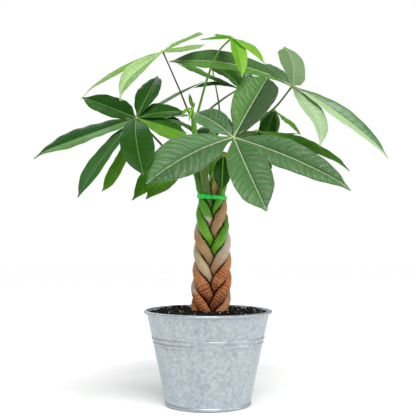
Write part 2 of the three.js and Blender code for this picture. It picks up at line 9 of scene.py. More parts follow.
import bpy
import numpy as np
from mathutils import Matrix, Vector

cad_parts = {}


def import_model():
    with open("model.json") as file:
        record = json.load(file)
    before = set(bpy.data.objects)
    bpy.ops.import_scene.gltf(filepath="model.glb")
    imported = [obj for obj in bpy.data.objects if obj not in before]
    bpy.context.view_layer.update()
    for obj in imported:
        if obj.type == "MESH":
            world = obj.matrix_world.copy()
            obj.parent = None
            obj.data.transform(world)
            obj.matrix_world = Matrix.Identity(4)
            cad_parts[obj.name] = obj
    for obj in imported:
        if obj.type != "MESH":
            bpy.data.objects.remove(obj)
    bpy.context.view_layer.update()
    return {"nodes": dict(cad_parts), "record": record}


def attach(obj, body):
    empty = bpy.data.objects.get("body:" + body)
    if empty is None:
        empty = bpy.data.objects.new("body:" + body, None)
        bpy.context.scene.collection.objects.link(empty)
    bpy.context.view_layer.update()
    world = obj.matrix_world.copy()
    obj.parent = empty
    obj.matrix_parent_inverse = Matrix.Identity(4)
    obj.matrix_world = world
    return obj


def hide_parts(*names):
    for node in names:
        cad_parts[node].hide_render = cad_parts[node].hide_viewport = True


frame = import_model()

MM = 0.001
TURN = 2 * math.pi
UP = np.array([0.0, 0.0, 1.0])


# ---------------------------------------------------------------- small vector helpers


def vec(values):
    return np.array(values, dtype=float)


def mix(a, b, t):
    return a + (b - a) * t


def unit(v):
    return v / np.linalg.norm(v, axis=-1, keepdims=True)


def square_to(direction, axis):
    """The part of direction that is square to axis, with length 1. Both may be lists of vectors."""
    share = np.sum(direction * axis, axis=-1, keepdims=True)
    return unit(direction - axis * share)


def along(curve, x):
    """The value at x of a curve given as (x, value) pairs, straight between them."""
    places, values = zip(*curve)
    return np.interp(x, places, values)


def smooth_along(curve, x):
    """The same curve with its corners rounded, which never swings past its own points."""
    places, values = (vec(v) for v in zip(*curve))
    slope = np.diff(values) / np.diff(places)
    bend = np.zeros(len(places))
    same = slope[1:] * slope[:-1] > 0
    bend[1:-1][same] = 2 * slope[1:][same] * slope[:-1][same] / (slope[1:][same] + slope[:-1][same])
    bend[0], bend[-1] = slope[0], slope[-1]
    i = np.clip(np.searchsorted(places, x) - 1, 0, len(slope) - 1)
    width = places[i + 1] - places[i]
    t = (x - places[i]) / width
    start = values[i] * (1 + 2 * t) * (1 - t) ** 2 + bend[i] * width * t * (1 - t) ** 2
    end = values[i + 1] * t * t * (3 - 2 * t) - bend[i + 1] * width * t * t * (1 - t)
    return start + end


def fade(x, low, high):
    """0 at low, 1 at high and smooth between them, for low above or below high."""
    t = np.clip((x - low) / (high - low), 0, 1)
    return t * t * (3 - 2 * t)


def wobble(points, size, seed, waves=14):
    """Smooth noise of about -1 to 1 at the given points, with lumps about `size` across."""
    draw = np.random.default_rng(seed)
    heading = unit(draw.normal(size=(waves, 3)))
    length = size * draw.uniform(1.2, 3.2, waves)
    shift = draw.uniform(0, TURN, waves)
    phase = points @ (heading * (TURN / length)[:, None]).T + shift
    return np.sin(phase).sum(axis=-1) * math.sqrt(2 / waves) * 0.7


def smooth_path(corners, steps):
    """Points along the smooth curve through `corners` that the CAD model's tubes follow too."""
    corners = [vec(c) for c in corners]
    ends = [2 * corners[0] - corners[1], *corners, 2 * corners[-1] - corners[-2]]
    line = []
    for place in np.linspace(0, len(corners) - 1, steps + 1):
        i = min(int(place), len(corners) - 2)
        line.append(curve_point(ends[i : i + 4], place - i))
    return np.array(line)


def curve_point(around, t):
    """A point at share t between the middle two of four corners, on a centripetal curve."""
    gaps = [max(np.linalg.norm(b - a) ** 0.5, 1e-4) for a, b in zip(around, around[1:])]
    p0, p1, p2, p3 = around
    leave = (p1 - p0) / gaps[0] - (p2 - p0) / (gaps[0] + gaps[1]) + (p2 - p1) / gaps[1]
    arrive = (p2 - p1) / gaps[1] - (p3 - p1) / (gaps[1] + gaps[2]) + (p3 - p2) / gaps[2]
    leave, arrive = leave * gaps[1], arrive * gaps[1]
    swing = (2 * p1 - 2 * p2 + leave + arrive) * t**3
    return swing + (-3 * p1 + 3 * p2 - 2 * leave - arrive) * t**2 + leave * t + p1


def tangents(line):
    before = np.vstack([line[:1], line[:-1]])
    after = np.vstack([line[1:], line[-1:]])
    return unit(after - before)


def directions_round(line, sides):
    """For each point of a line, unit vectors square to it, all the way round, without twisting."""
    ahead = tangents(line)
    across = square_to(vec([1, 0.02, 0]), ahead[0])
    turn = np.linspace(0, TURN, sides, endpoint=False)
    rings = []
    for heading in ahead:
        across = square_to(across, heading)
        other = np.cross(heading, across)
        rings.append(np.outer(np.cos(turn), across) + np.outer(np.sin(turn), other))
    return np.array(rings)


# ---------------------------------------------------------------- meshes with attributes


class Shape:
    """Points, faces and named numbers for each point, gathered into one mesh."""

    def __init__(self):
        self.points, self.faces, self.finishes, self.values = [], [], [], {}
        self.count = 0

    def add(self, points, faces, finish=0, **values):
        """Adds a patch whose faces are lists of its own point numbers. Values are one or one each."""
        size = len(points)
        for name in set(values) - set(self.values):
            self.values[name] = [np.zeros(self.count)] if self.count else []
        for name in self.values:
            given = values.get(name, 0.0)
            self.values[name].append(np.broadcast_to(np.asarray(given, float).ravel(), (size,)))
        self.points.append(points)
        self.faces += [[corner + self.count for corner in face] for face in faces]
        self.finishes += [finish] * len(faces)
        self.count += size

    def mesh(self, name):
        mesh = bpy.data.meshes.new(name)
        points = np.vstack(self.points) * MM
        mesh.from_pydata(points.tolist(), [], self.faces)
        for value_name, parts in self.values.items():
            numbers = np.concatenate(parts).astype(np.float32)
            mesh.attributes.new(value_name, "FLOAT", "POINT").data.foreach_set("value", numbers)
        mesh.polygons.foreach_set("material_index", self.finishes)
        mesh.polygons.foreach_set("use_smooth", [True] * len(self.faces))
        mesh.update()
        return mesh


def ring_faces(rows, columns, ends="covered"):
    """Quads between closed rings of points. The end rings are "covered", "joined" or left "open"."""
    faces = []
    for i in range(rows if ends == "joined" else rows - 1):
        this, after = i * columns, (i + 1) % rows * columns
        for j in range(columns):
            k = (j + 1) % columns
            faces.append([this + j, this + k, after + k, after + j])
    if ends == "covered":
        faces.append(list(range(columns - 1, -1, -1)))
        faces.append([(rows - 1) * columns + j for j in range(columns)])
    return faces


def put_in_scene(name, data):
    made = bpy.data.objects.new(name, data)
    bpy.context.scene.collection.objects.link(made)
    return made


def add_piece(name, shape, slot, materials, *nodes):
    """Makes a shape a piece of the scene that stands for the CAD nodes named."""
    piece = put_in_scene(name, shape.mesh(name))
    for material in materials:
        piece.data.materials.append(material)
    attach(piece, "root")
    if nodes:
        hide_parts(*nodes)
    return piece


# ---------------------------------------------------------------- material helpers


class Nodes:
    """A material's node tree, with short calls for the nodes that this script uses."""

    def __init__(self, name, **sockets):
        self.material = bpy.data.materials.new(name)
        self.material.use_nodes = True
        self.tree = self.material.node_tree
        self.shader = self.tree.nodes["Principled BSDF"]
        for socket, value in sockets.items():
            self.shader.inputs[socket.replace("_", " ")].default_value = value

    def link(self, source, target):
        self.tree.links.new(source, target)

    def node(self, kind, **settings):
        made = self.tree.nodes.new(kind)
        for key, value in settings.items():
            setattr(made, key, value)
        return made

    def feed(self, socket, value):
        """Links a socket to another node's output, or sets it to a number or a colour."""
        if isinstance(value, bpy.types.NodeSocket):
            self.link(value, socket)
        else:
            socket.default_value = value

    def attribute(self, name):
        return self.node("ShaderNodeAttribute", attribute_name=name).outputs["Fac"]

    def place(self, stretch=(1, 1, 1)):
        """Where a point is on the object, in millimetres times `stretch`."""
        mapping = self.node("ShaderNodeMapping")
        mapping.inputs["Scale"].default_value = [s / MM for s in stretch]
        self.link(self.node("ShaderNodeTexCoord").outputs["Object"], mapping.inputs["Vector"])
        return mapping.outputs["Vector"]

    def together(self, x, y, z=0.0):
        """A place made of three numbers."""
        made = self.node("ShaderNodeCombineXYZ")
        for socket, value in zip(made.inputs, (x, y, z)):
            self.feed(socket, value)
        return made.outputs["Vector"]

    def noise(self, place, size, detail=3.0, roughness=0.55):
        """Noise from 0 to 1 with lumps about `size` across, in the units of `place`."""
        made = self.node("ShaderNodeTexNoise")
        made.inputs["Scale"].default_value = 1 / size
        made.inputs["Detail"].default_value = detail
        made.inputs["Roughness"].default_value = roughness
        self.link(place, made.inputs["Vector"])
        return made.outputs["Fac"]

    def cells(self, place, size, feature="F1", output="Distance"):
        made = self.node("ShaderNodeTexVoronoi", feature=feature)
        made.inputs["Scale"].default_value = 1 / size
        self.link(place, made.inputs["Vector"])
        return made.outputs[output]

    def sum(self, kind, a, b=0.0, c=0.0):
        made = self.node("ShaderNodeMath", operation=kind)
        for socket, value in zip(made.inputs, (a, b, c)):
            self.feed(socket, value)
        return made.outputs[0]

    def times(self, a, b):
        return self.sum("MULTIPLY", a, b)

    def range(self, value, low, high, to_low=0.0, to_high=1.0, smooth=True):
        """value from low..high taken to to_low..to_high and held at the ends."""
        made = self.node("ShaderNodeMapRange", interpolation_type="SMOOTHSTEP" if smooth else "LINEAR")
        for socket, given in zip(made.inputs, (value, low, high, to_low, to_high)):
            self.feed(socket, given)
        return made.outputs[0]

    def ramp(self, value, stops):
        """Colours at places from 0 to 1."""
        made = self.node("ShaderNodeValToRGB")
        colours = made.color_ramp.elements
        while len(colours) < len(stops):
            colours.new(0.5)
        for element, (place, colour) in zip(colours, stops):
            element.position = place
            element.color = (*colour, 1)
        self.feed(made.inputs["Fac"], value)
        return made.outputs["Color"]

    def blend(self, share, a, b, kind="MIX"):
        """Colour a with `share` of colour b laid over it."""
        made = self.node("ShaderNodeMix", data_type="RGBA", blend_type=kind, clamp_factor=True)
        for name, value in (("Factor_Float", share), ("A_Color", a), ("B_Color", b)):
            socket = next(s for s in made.inputs if s.identifier == name)
            self.feed(socket, (*value, 1) if isinstance(value, tuple) else value)
        return next(s for s in made.outputs if s.identifier == "Result_Color")

    def bump(self, height, depth, before=None):
        """Surface relief of `depth` millimetres for a height of 1, over the relief `before`."""
        made = self.node("ShaderNodeBump")
        made.inputs["Strength"].default_value = 1.0
        made.inputs["Distance"].default_value = depth * MM
        self.link(height, made.inputs["Height"])
        if before is not None:
            self.link(before, made.inputs["Normal"])
        return made.outputs["Normal"]

    def finish(self, colour, roughness, normal):
        self.feed(self.shader.inputs["Base Color"], colour)
        self.feed(self.shader.inputs["Roughness"], roughness)
        self.feed(self.shader.inputs["Normal"], normal)
        return self.material


# ---------------------------------------------------------------- pot

POT = {
    "height": 121, "rim_radius": 82.5, "wall_top": 79.5, "wall_bottom": 53.6, "seam": 55.4,
    "sheet": 1.2, "rim_bead": 2.1, "slab_top": 4,
}
BEADS = [(86.0, 0.75), (80.2, 0.75)]
BEAD_HALF = 2.6


def cone_radius(z):
    """Outer radius of the plain cone of the wall at height z."""
    return mix(POT["wall_bottom"], POT["wall_top"], z / POT["height"])


def wall_radius(z):
    """Outer radius of the wall with its two rolled beads and a shallow groove beside each."""
    radius = cone_radius(z)
    for middle, out in BEADS:
        radius += out * fade(abs(z - middle), BEAD_HALF, 0)
    for groove in (BEADS[0][0] + BEAD_HALF, mix(BEADS[0][0], BEADS[1][0], 0.5), BEADS[1][0] - BEAD_HALF):
        radius -= 0.35 * fade(abs(z - groove), 1.1, 0)
    return radius


def pot_profile():
    """(radius, height, looseness) round the sheet: how far each point may be dented."""
    points = []
    seam_middle, seam_round = POT["seam"] - 1.9, 1.9
    for turn in np.linspace(-0.5, 0.36, 9) * math.pi:
        height = 2.3 + 2.3 * math.sin(turn)
        points.append((seam_middle + seam_round * math.cos(turn), height, 0))
    heights = [np.linspace(5.4, 74, 36), np.linspace(75, 92, 45), np.linspace(94, 114.6, 12)]
    for z in np.concatenate(heights):
        points.append((wall_radius(z), z, 1))
    bead_x, bead_z = POT["rim_radius"] - POT["rim_bead"], POT["height"] - POT["rim_bead"]
    for turn in np.linspace(-0.74, 0.98, 17) * math.pi:
        out, up = POT["rim_bead"] * math.cos(turn), POT["rim_bead"] * math.sin(turn)
        points.append((bead_x + out, bead_z + up, 0.3))
    for z in (117.4, 114, 90, 60, 30, 8, POT["slab_top"] + 0.3, 0):
        points.append((cone_radius(min(z, 113)) - POT["sheet"], z, 0.3))
    return points


def pot_wall():
    sides = 216
    turn = np.linspace(0, TURN, sides, endpoint=False)
    profile = pot_profile()
    rings = []
    for radius, z, loose in profile:
        ring = np.column_stack([radius * np.cos(turn), radius * np.sin(turn), np.full(sides, z)])
        dents = 0.16 * wobble(ring, 26, 5) + 0.07 * wobble(ring, 9, 6)
        ring[:, :2] *= (1 + loose * dents / radius)[:, None]
        rings.append(ring)
    shape = Shape()
    shape.add(np.vstack(rings), ring_faces(len(profile), sides, "joined"))
    return shape


def galvanised():
    """Zinc-coated sheet: pale blue grey, with crystal patches, grey stains and small dark specks."""
    n = Nodes("galvanised_sheet", Metallic=0.75)
    place = n.place()
    tall = n.place((1, 1, 0.35))
    crystals = n.noise(n.cells(place, 7, output="Color"), 1.0, 0)
    cloud = n.noise(tall, 26, 4, 0.6)
    mottle = n.noise(place, 4.5, 5, 0.7)
    speck = n.range(n.noise(place, 1.7, 3, 0.6), 0.62, 0.74)
    stain = n.range(n.noise(place, 9, 4, 0.65), 0.60, 0.72)
    worn = n.sum("MULTIPLY_ADD", n.range(mottle, 0.25, 0.75), 0.55, n.times(cloud, 0.45))
    zinc = [(0.2, (0.28, 0.33, 0.38)), (0.5, (0.43, 0.48, 0.52)), (0.8, (0.60, 0.64, 0.67))]
    colour = n.ramp(worn, zinc)
    colour = n.blend(n.range(crystals, 0.35, 0.65, 0.0, 0.2), colour, (0.58, 0.63, 0.67))
    colour = n.blend(n.times(speck, 0.55), colour, (0.20, 0.25, 0.29))
    colour = n.blend(n.times(stain, 0.5), colour, (0.24, 0.29, 0.33))
    roughness = n.range(mottle, 0.3, 0.7, 0.34, 0.52)
    normal = n.bump(n.noise(place, 3, 4), 0.10, n.bump(cloud, 0.5))
    return n.finish(colour, roughness, normal)


# ---------------------------------------------------------------- soil

SOIL_TOP, SOIL_BOTTOM, SOIL_EDGE = 119.2, 4.6, 75.4
SOIL_GAP = 0.6  # between the soil and the wall, as in the CAD model


def soil_height(x, y):
    """The low mound with shallow lumps that the CAD soil has, with clods on it."""
    radius, turn = np.hypot(x, y), np.arctan2(y, x)
    mound = 1.6 * np.cos(radius / 78 * math.pi / 2)
    lumps = 0.9 * np.sin(3 * turn + 0.11 * radius) + 0.7 * np.sin(7 * turn - 0.23 * radius + 1)
    smooth = SOIL_TOP - 1.5 + mound + lumps * np.maximum(np.minimum(1, (78 - radius) / 12), 0.15)
    place = np.stack([x, y, np.zeros_like(x)], axis=-1)
    return smooth + 0.55 * wobble(place, 2.6, 11) + 0.5 * wobble(place, 5.5, 12)


def soil():
    sides, rings = 260, 60
    turn = np.linspace(0, TURN, sides, endpoint=False)
    rows = []
    for z in (SOIL_BOTTOM, 40, 80, 113):
        radius = cone_radius(z) - POT["sheet"] - SOIL_GAP
        rows.append(np.column_stack([radius * np.cos(turn), radius * np.sin(turn), np.full(sides, z)]))
    for radius in np.linspace(SOIL_EDGE, 1, rings):
        x, y = radius * np.cos(turn), radius * np.sin(turn)
        rows.append(np.column_stack([x, y, soil_height(x, y)]))
    shape = Shape()
    shape.add(np.vstack(rows), ring_faces(len(rows), sides))
    return shape


def lump(size, draw):
    """A rough rounded stone of about `size`: its points and faces."""
    points, faces = COARSE_BALL
    pushed = points * (1 + 0.25 * wobble(points * 10 + draw.uniform(0, 500, 3), 8, 3))[:, None]
    return pushed * size * draw.uniform(0.65, 1.15, 3), faces


def ball(detail):
    """A ball of triangles with radius 1, each face of an icosahedron cut into four `detail` times."""
    bpy.ops.mesh.primitive_ico_sphere_add(subdivisions=detail + 1, radius=1)
    maker = bpy.context.object
    points = np.array([v.co for v in maker.data.vertices])
    faces = [list(p.vertices) for p in maker.data.polygons]
    bpy.data.objects.remove(maker)
    return points, faces


COARSE_BALL, FINE_BALL = ball(1), ball(2)
STREWN = 75  # how far from the middle lumps lie on the soil
TRUNK_FOOT = (3.2, 23.0)  # the middle of the stems where they enter the soil, and how far they reach


def scatter(count, sizes, seed, sunk):
    """Lumps strewn over the soil, each sunk by a share of its size, and none under the stems."""
    draw = np.random.default_rng(seed)
    shape = Shape()
    while count:
        radius, turn = STREWN * math.sqrt(draw.uniform()), draw.uniform(0, TURN)
        x, y = radius * math.cos(turn), radius * math.sin(turn)
        size = draw.uniform(*sizes)
        if math.hypot(x - TRUNK_FOOT[0], y) < TRUNK_FOOT[1] or radius + size > STREWN:
            continue
        points, faces = lump(size, draw)
        height = float(soil_height(np.array([x]), np.array([y]))[0])
        shape.add(points + vec([x, y, height + size * (0.5 - sunk)]), faces, tint=draw.uniform())
        count -= 1
    return shape


def earth():
    """Dark moist potting soil of bark and peat."""
    n = Nodes("potting_soil", Specular_IOR_Level=0.2)
    place = n.place()
    grain = n.noise(place, 1.6, 4, 0.65)
    patch = n.noise(place, 9, 2)
    worn = n.sum("MULTIPLY_ADD", n.attribute("tint"), 0.35, n.times(grain, 0.75))
    peat = [(0.3, (0.004, 0.003, 0.002)), (0.6, (0.012, 0.008, 0.006)), (0.95, (0.045, 0.03, 0.02))]
    colour = n.ramp(worn, peat)
    colour = n.blend(n.range(patch, 0.5, 0.75, 0, 0.5), colour, (0.012, 0.009, 0.007))
    return n.finish(colour, 0.9, n.bump(grain, 0.5))


def perlite():
    """White foamed grains in the soil."""
    n = Nodes("perlite")
    place = n.place()
    pores = n.cells(place, 0.5)
    colour = n.ramp(n.noise(place, 1.2), [(0.3, (0.55, 0.54, 0.50)), (0.6, (0.82, 0.82, 0.79))])
    colour = n.blend(n.range(n.attribute("tint"), 0.6, 1.0, 0, 0.35), colour, (0.42, 0.36, 0.28))
    return n.finish(colour, 0.85, n.bump(pores, 0.15))


# ---------------------------------------------------------------- braided stems

BRAID = {
    "strands": 7, "period": 170.1, "start": 239.5, "foot": 100, "soil": 118, "top": 268,
    "straight": 0.08, "depth": 0.68,
}
HALF_WIDTH = [(118, 24.9), (152, 25.9), (187, 24.4), (214, 23.7), (236, 21.2), (256, 19.5), (270, 19.2)]
STEM_RADIUS = [(118, 7.4), (160, 7.0), (210, 6.3), (240, 5.8), (268, 5.4)]
GIRTH = [0.88, 1.22, 0.96, 1.04, 1.04, 0.98, 0.98]  # each stem's radius as a share of that
TRUNK_MIDDLE = [(118, 3.2), (150, 4.3), (185, 5.6), (268, 5.2)]
STEM_TOPS = [
    {"points": [(21, -9, 286), (24, -13, 302), (23, -17, 314)], "radius": 3.4},
    {"points": [(17, 14, 290), (27, 19, 318), (37, 24, 346), (40, 27, 366)], "radius": 2.6},
    {"points": [(6, 6, 292), (5, 14, 322), (8, 24, 350), (9, 29, 366)], "radius": 2.6},
    {"points": [(-5, -10, 293), (-12, -9, 320), (-17, -7, 348), (-19, -6, 373)], "radius": 3.0},
    {"points": [(-13, 9, 291), (-22, 13, 315), (-33, 19, 340), (-37, 22, 352)], "radius": 2.4},
    {"points": [(-3, 14, 288), (-5, 19, 306)], "radius": 3.4},
    {"points": [(9, -3, 286), (10, -4, 304)], "radius": 3.8},
]
PRESS = {
    "room": 0.4,  # how much further a surface stays from the others' round surfaces than from its own
    "round": 7,  # how sharply a stem's own radius gives way to the room that it has
    "tie_radius": 17.6,  # what fits inside the tie
    "tie_slope": 0.2,  # how fast that widens above and below the tie
}
TIE = {"height": 265.5, "band": 5.2, "thickness": 0.9, "inner": 18.1, "tilt": -0.07}
STEM_SIDES = 40


def side_to_side(turn):
    """From 1 at the right to -1 at the left and back, almost straight in between."""
    return (math.cos(turn) + BRAID["straight"] * math.cos(3 * turn)) / (1 + BRAID["straight"])


def braid_point(strand, height):
    """Middle of one stem at a height: outside to middle at the front, and back outside behind."""
    z = max(height, BRAID["soil"])
    turn = TURN * (0.25 + (BRAID["start"] - z) / BRAID["period"] - strand / BRAID["strands"])
    swing = along(HALF_WIDTH, z) - along(STEM_RADIUS, z) * GIRTH[strand]
    x = along(TRUNK_MIDDLE, z) + swing * side_to_side(turn)
    return [x, -BRAID["depth"] * swing * math.sin(2 * turn), height]


def stem_line(strand):
    """The middle line of a stem: out of the soil, through the braid and on to its top."""
    braided = [braid_point(strand, z) for z in np.arange(BRAID["foot"], BRAID["top"], 0.5)]
    joint = BRAID["top"] - (BRAID["top"] - BRAID["soil"]) / 18
    upper = [braid_point(strand, joint), braid_point(strand, BRAID["top"]), *STEM_TOPS[strand]["points"]]
    steps = 28 * (len(upper) - 1)
    return np.vstack([braided, smooth_path(upper, steps)[29:]])


LINES = [stem_line(strand) for strand in range(BRAID["strands"])]


def free_radius(strand, z):
    """A stem's own radius at a height, before its neighbours press on it."""
    top = LINES[strand][-1, 2]
    braided = along(STEM_RADIUS, z) * GIRTH[strand]
    above = mix(braided, STEM_TOPS[strand]["radius"], (z - BRAID["top"]) / (top - BRAID["top"]))
    return np.where(z <= BRAID["top"], braided, above)


NO_LIMIT, LEAST_REACH = 99.0, 1.2  # of a stem's surface from its middle line


def room_beside(strand, line, out):
    """How far each point of a stem may lie from its middle line, up to where it meets the next stem."""
    others = [other for other in range(BRAID["strands"]) if other != strand]
    places = np.vstack([LINES[other][::3] for other in others])
    radii = np.concatenate([free_radius(other, LINES[other][::3, 2]) for other in others])
    own = free_radius(strand, line[:, 2])
    room = np.full(out.shape[:2], NO_LIMIT)
    for i, middle in enumerate(line):
        near = np.abs(places[:, 2] - middle[2]) < 20
        if not near.any():
            continue
        offset = places[near] - middle
        apart = radii[near] - own[i] + PRESS["room"]
        far = np.sum(offset**2, axis=1) - apart**2
        towards = out[i] @ offset.T + apart
        reach = np.where(towards > 1e-6, far / (2 * np.maximum(towards, 1e-6)), NO_LIMIT)
        room[i] = np.maximum(reach.min(axis=1), LEAST_REACH)
    return room


def room_in_tie(line, out):
    """How far each point may lie from its middle line inside the tie's grip."""
    from_tie = np.abs(line[:, 2] - TIE["height"])
    grip = PRESS["tie_radius"] + PRESS["tie_slope"] * from_tie + np.maximum(0, (from_tie - 7) / 2) ** 2
    inward = line[:, :2] - np.column_stack([along(TRUNK_MIDDLE, line[:, 2]), np.zeros(len(line))])
    flat = out[:, :, :2]
    a = np.maximum(np.sum(flat**2, axis=2), 1e-4)
    b = np.sum(flat * inward[:, None, :], axis=2)
    c = (np.sum(inward**2, axis=1) - grip**2)[:, None]
    return np.maximum((-b + np.sqrt(np.maximum(b * b - a * c, 0))) / a, LEAST_REACH)


RING_SPACING = 3.4
RING_TOPS = [135, 168, 142, 140, 178, 168, 150]  # how high up each stem its bark is ringed
RINGED = [0.6, 1.0, 0.9, 0.8, 0.9, 1.0, 0.4]  # how deep the rings are
WOODY = [0.7, 0.9, 0.4, 0.6, 0.5, 0.3, 0.8]  # how fibrous each stem's bark is


def bark_relief(strand, place, run, turn):
    """Depth of the creases in the bark, and how deep in a ring's crease each point of a stem is, by which
    the bark's colour paints shade into the rings.
    """
    z = place[:, :, 2]
    ringed = fade(z, RING_TOPS[strand] + 10, RING_TOPS[strand] - 4) * RINGED[strand]
    shifted = run + 0.9 * wobble(place, 10, 40 + strand) + 0.3 * wobble(place, 4, 50 + strand)
    crease = 1 - np.abs(np.sin(math.pi * shifted / RING_SPACING)) ** 0.55
    whole = np.clip(0.85 + 0.4 * wobble(place, 8, 60 + strand), 0.15, 1)
    rings = crease * whole * ringed
    long = np.stack([np.cos(turn) * 9, np.sin(turn) * 9, run * 0.16], axis=-1)
    grooves = np.clip(wobble(long, 2.4, 70 + strand), 0, 1) * (0.25 + 0.75 * WOODY[strand])
    lumps = 0.30 * wobble(place, 8, 80 + strand) + 0.12 * wobble(place, 3, 90 + strand)
    return 0.75 * rings + 0.22 * grooves + lumps * fade(z, 300, 240), np.clip(1.25 * rings, 0, 1)


def stem(strand):
    line = LINES[strand]
    out = directions_round(line, STEM_SIDES)
    own = np.repeat(free_radius(strand, line[:, 2])[:, None], STEM_SIDES, axis=1)
    beside = room_beside(strand, line, out)
    room = np.minimum(beside, room_in_tie(line, out))
    power = -PRESS["round"]
    reach = (own**power + room**power) ** (1 / power)
    steps = np.linalg.norm(np.diff(line, axis=0), axis=1)
    run = np.concatenate([[0], np.cumsum(steps)])
    runs = np.repeat(run[:, None], STEM_SIDES, axis=1)
    turn = np.broadcast_to(np.linspace(0, TURN, STEM_SIDES, endpoint=False), runs.shape)
    place = line[:, None, :] + out * reach[:, :, None]
    depth, ring = bark_relief(strand, place, runs, turn)
    # How hard each point is pressed by its neighbours. The bark uses this to paint shade between the stems.
    pressed = np.clip(own / beside, 0, 1.5)
    reach = reach - depth * np.minimum(1, reach / 4)
    end = fade(np.arange(len(line))[::-1], 0, 5)[:, None]
    reach = reach * (0.35 + 0.65 * end)
    points = line[:, None, :] + out * reach[:, :, None]
    shape = Shape()
    shape.add(
        points.reshape(-1, 3), ring_faces(len(line), STEM_SIDES),
        height=points[:, :, 2], ring=ring, pressed=pressed,
        run=runs, around=np.cos(turn), aside=np.sin(turn),
    )
    return shape


ORANGE, RUST, TAN = (0.58, 0.165, 0.026), (0.40, 0.09, 0.014), (0.44, 0.27, 0.13)
CREAM, PALE, BARK = (0.60, 0.48, 0.30), (0.58, 0.52, 0.42), (0.40, 0.22, 0.09)
OLIVE, GREEN, LIME = (0.13, 0.19, 0.03), (0.075, 0.29, 0.008), (0.15, 0.42, 0.015)
DEEP, BLUSH = (0.03, 0.13, 0.01), (0.47, 0.235, 0.10)
# Each stem's colours at heights up its length.
STEM_COLOURS = [
    [(118, ORANGE), (140, TAN), (150, CREAM), (205, CREAM), (225, OLIVE), (240, GREEN), (300, GREEN)],
    [(118, RUST), (166, ORANGE), (174, BLUSH), (196, BLUSH), (214, BARK), (240, BARK), (262, TAN),
     (300, BARK)],
    [(118, ORANGE), (140, ORANGE), (148, PALE), (180, TAN), (188, LIME), (228, GREEN), (245, OLIVE),
     (300, GREEN)],
    [(118, ORANGE), (166, BLUSH), (176, TAN), (200, PALE), (220, PALE), (242, OLIVE), (262, DEEP),
     (300, OLIVE), (340, GREEN)],
    [(118, RUST), (172, ORANGE), (184, BLUSH), (205, TAN), (226, BARK), (236, PALE), (243, GREEN),
     (262, GREEN), (300, DEEP)],
    [(118, RUST), (160, ORANGE), (176, TAN), (196, GREEN), (215, LIME), (250, GREEN), (300, GREEN)],
    [(118, ORANGE), (150, TAN), (176, BARK), (196, TAN), (212, BLUSH), (228, PALE), (250, TAN),
     (300, BARK)],
]
COLOURS_FROM, COLOURS_TO = 100.0, 400.0  # the heights that a stem's colours are spread over
BARKED = [226, 400, 184, 240, 240, 192, 400]  # how high up each stem its skin is brown and dull


def bark(strand):
    """Bark that is ringed and orange brown at the foot, and green and smooth higher up, with painted shade
    in its ring grooves and between pressed stems, and painted highlights along the green stems' fibres.
    """
    n = Nodes(f"bark_{strand + 1}", Specular_IOR_Level=0.35)
    place = n.place()
    fibre = n.together(
        n.times(n.attribute("around"), 9.0),
        n.times(n.attribute("aside"), 9.0),
        n.times(n.attribute("run"), 0.12),
    )
    grain = n.noise(fibre, 1.3, 4, 0.6)
    patch = n.noise(place, 9, 3)
    fleck = n.noise(place, 1.5, 3, 0.6)
    height = n.sum("ADD", n.attribute("height"), n.sum("MULTIPLY_ADD", patch, 16.0, -8.0))
    spread = COLOURS_TO - COLOURS_FROM
    stops = [((z - COLOURS_FROM) / spread, colour) for z, colour in STEM_COLOURS[strand]]
    colour = n.ramp(n.range(height, COLOURS_FROM, COLOURS_TO, smooth=False), stops)
    woody = n.range(height, BARKED[strand] + 6.0, BARKED[strand] - 6.0)
    fresh = n.sum("SUBTRACT", 1.0, woody)
    blush = n.times(n.range(n.noise(place, 7, 2), 0.52, 0.7), n.times(woody, 0.55))
    colour = n.blend(blush, colour, (0.50, 0.20, 0.07))
    streak = n.range(grain, 0.42, 0.72)
    colour = n.blend(n.times(streak, n.times(woody, 0.4)), colour, (0.66, 0.58, 0.46))
    # Painted highlights: pale green streaks along the fibres of the green stems stand in for the light
    # along their ribs.
    colour = n.blend(n.times(streak, n.times(fresh, 0.3)), colour, (0.30, 0.52, 0.10))
    speckle = n.times(n.range(fleck, 0.55, 0.72), n.sum("MULTIPLY_ADD", woody, 0.45, 0.1))
    colour = n.blend(speckle, colour, RUST)
    # Painted shade: the bark darkens to a dark red brown in the grooves of its rings, by how deep in the
    # groove each point lies.
    ring = n.attribute("ring")
    colour = n.blend(n.times(n.range(ring, 0.1, 0.7), 0.85), colour, (0.14, 0.03, 0.008))
    # Painted shade: the bark turns near-black where the stems press against each other. This stands in for
    # the shade in the creases between them.
    crease = n.range(n.attribute("pressed"), 0.92, 1.04, 0.0, 0.95)
    colour = n.blend(crease, colour, (0.010, 0.007, 0.003))
    roughness = n.sum("MULTIPLY_ADD", woody, 0.28, n.range(grain, 0.3, 0.7, 0.34, 0.44))
    normal = n.bump(fleck, 0.18, n.bump(grain, 0.25))
    return n.finish(colour, roughness, normal)


# ---------------------------------------------------------------- tie


def tie():
    """The green tie: a flat band, wider at the left, lower at the right and higher behind."""
    steps, corners = 120, 14
    turn = np.linspace(0, TURN, steps, endpoint=False)
    middle = along(TRUNK_MIDDLE, TIE["height"])
    half = TIE["band"] / 2 * (1.02 - 0.2 * np.cos(turn)) + 0.12 * np.sin(5 * turn + 1)
    radius = TIE["inner"] + TIE["thickness"] / 2 + 0.12 * np.sin(5 * turn)
    lift = TIE["tilt"] * radius * np.cos(turn) + 1.3 * fade(np.sin(turn), -0.2, 1)
    rings = []
    for side in np.linspace(0, TURN, corners, endpoint=False):
        up = np.sign(math.sin(side)) * abs(math.sin(side)) ** 0.5
        outward = np.sign(math.cos(side)) * abs(math.cos(side)) ** 0.5 * TIE["thickness"] / 2
        bulge = 0.35 * (1 - up * up) * (math.cos(side) > 0)
        reach = radius + outward + bulge
        z = TIE["height"] + lift + half * up
        rings.append(np.column_stack([middle + reach * np.cos(turn), reach * np.sin(turn), z]))
    points = np.stack(rings, axis=1).reshape(-1, 3)
    shape = Shape()
    shape.add(points, ring_faces(steps, corners, "joined"))
    return shape


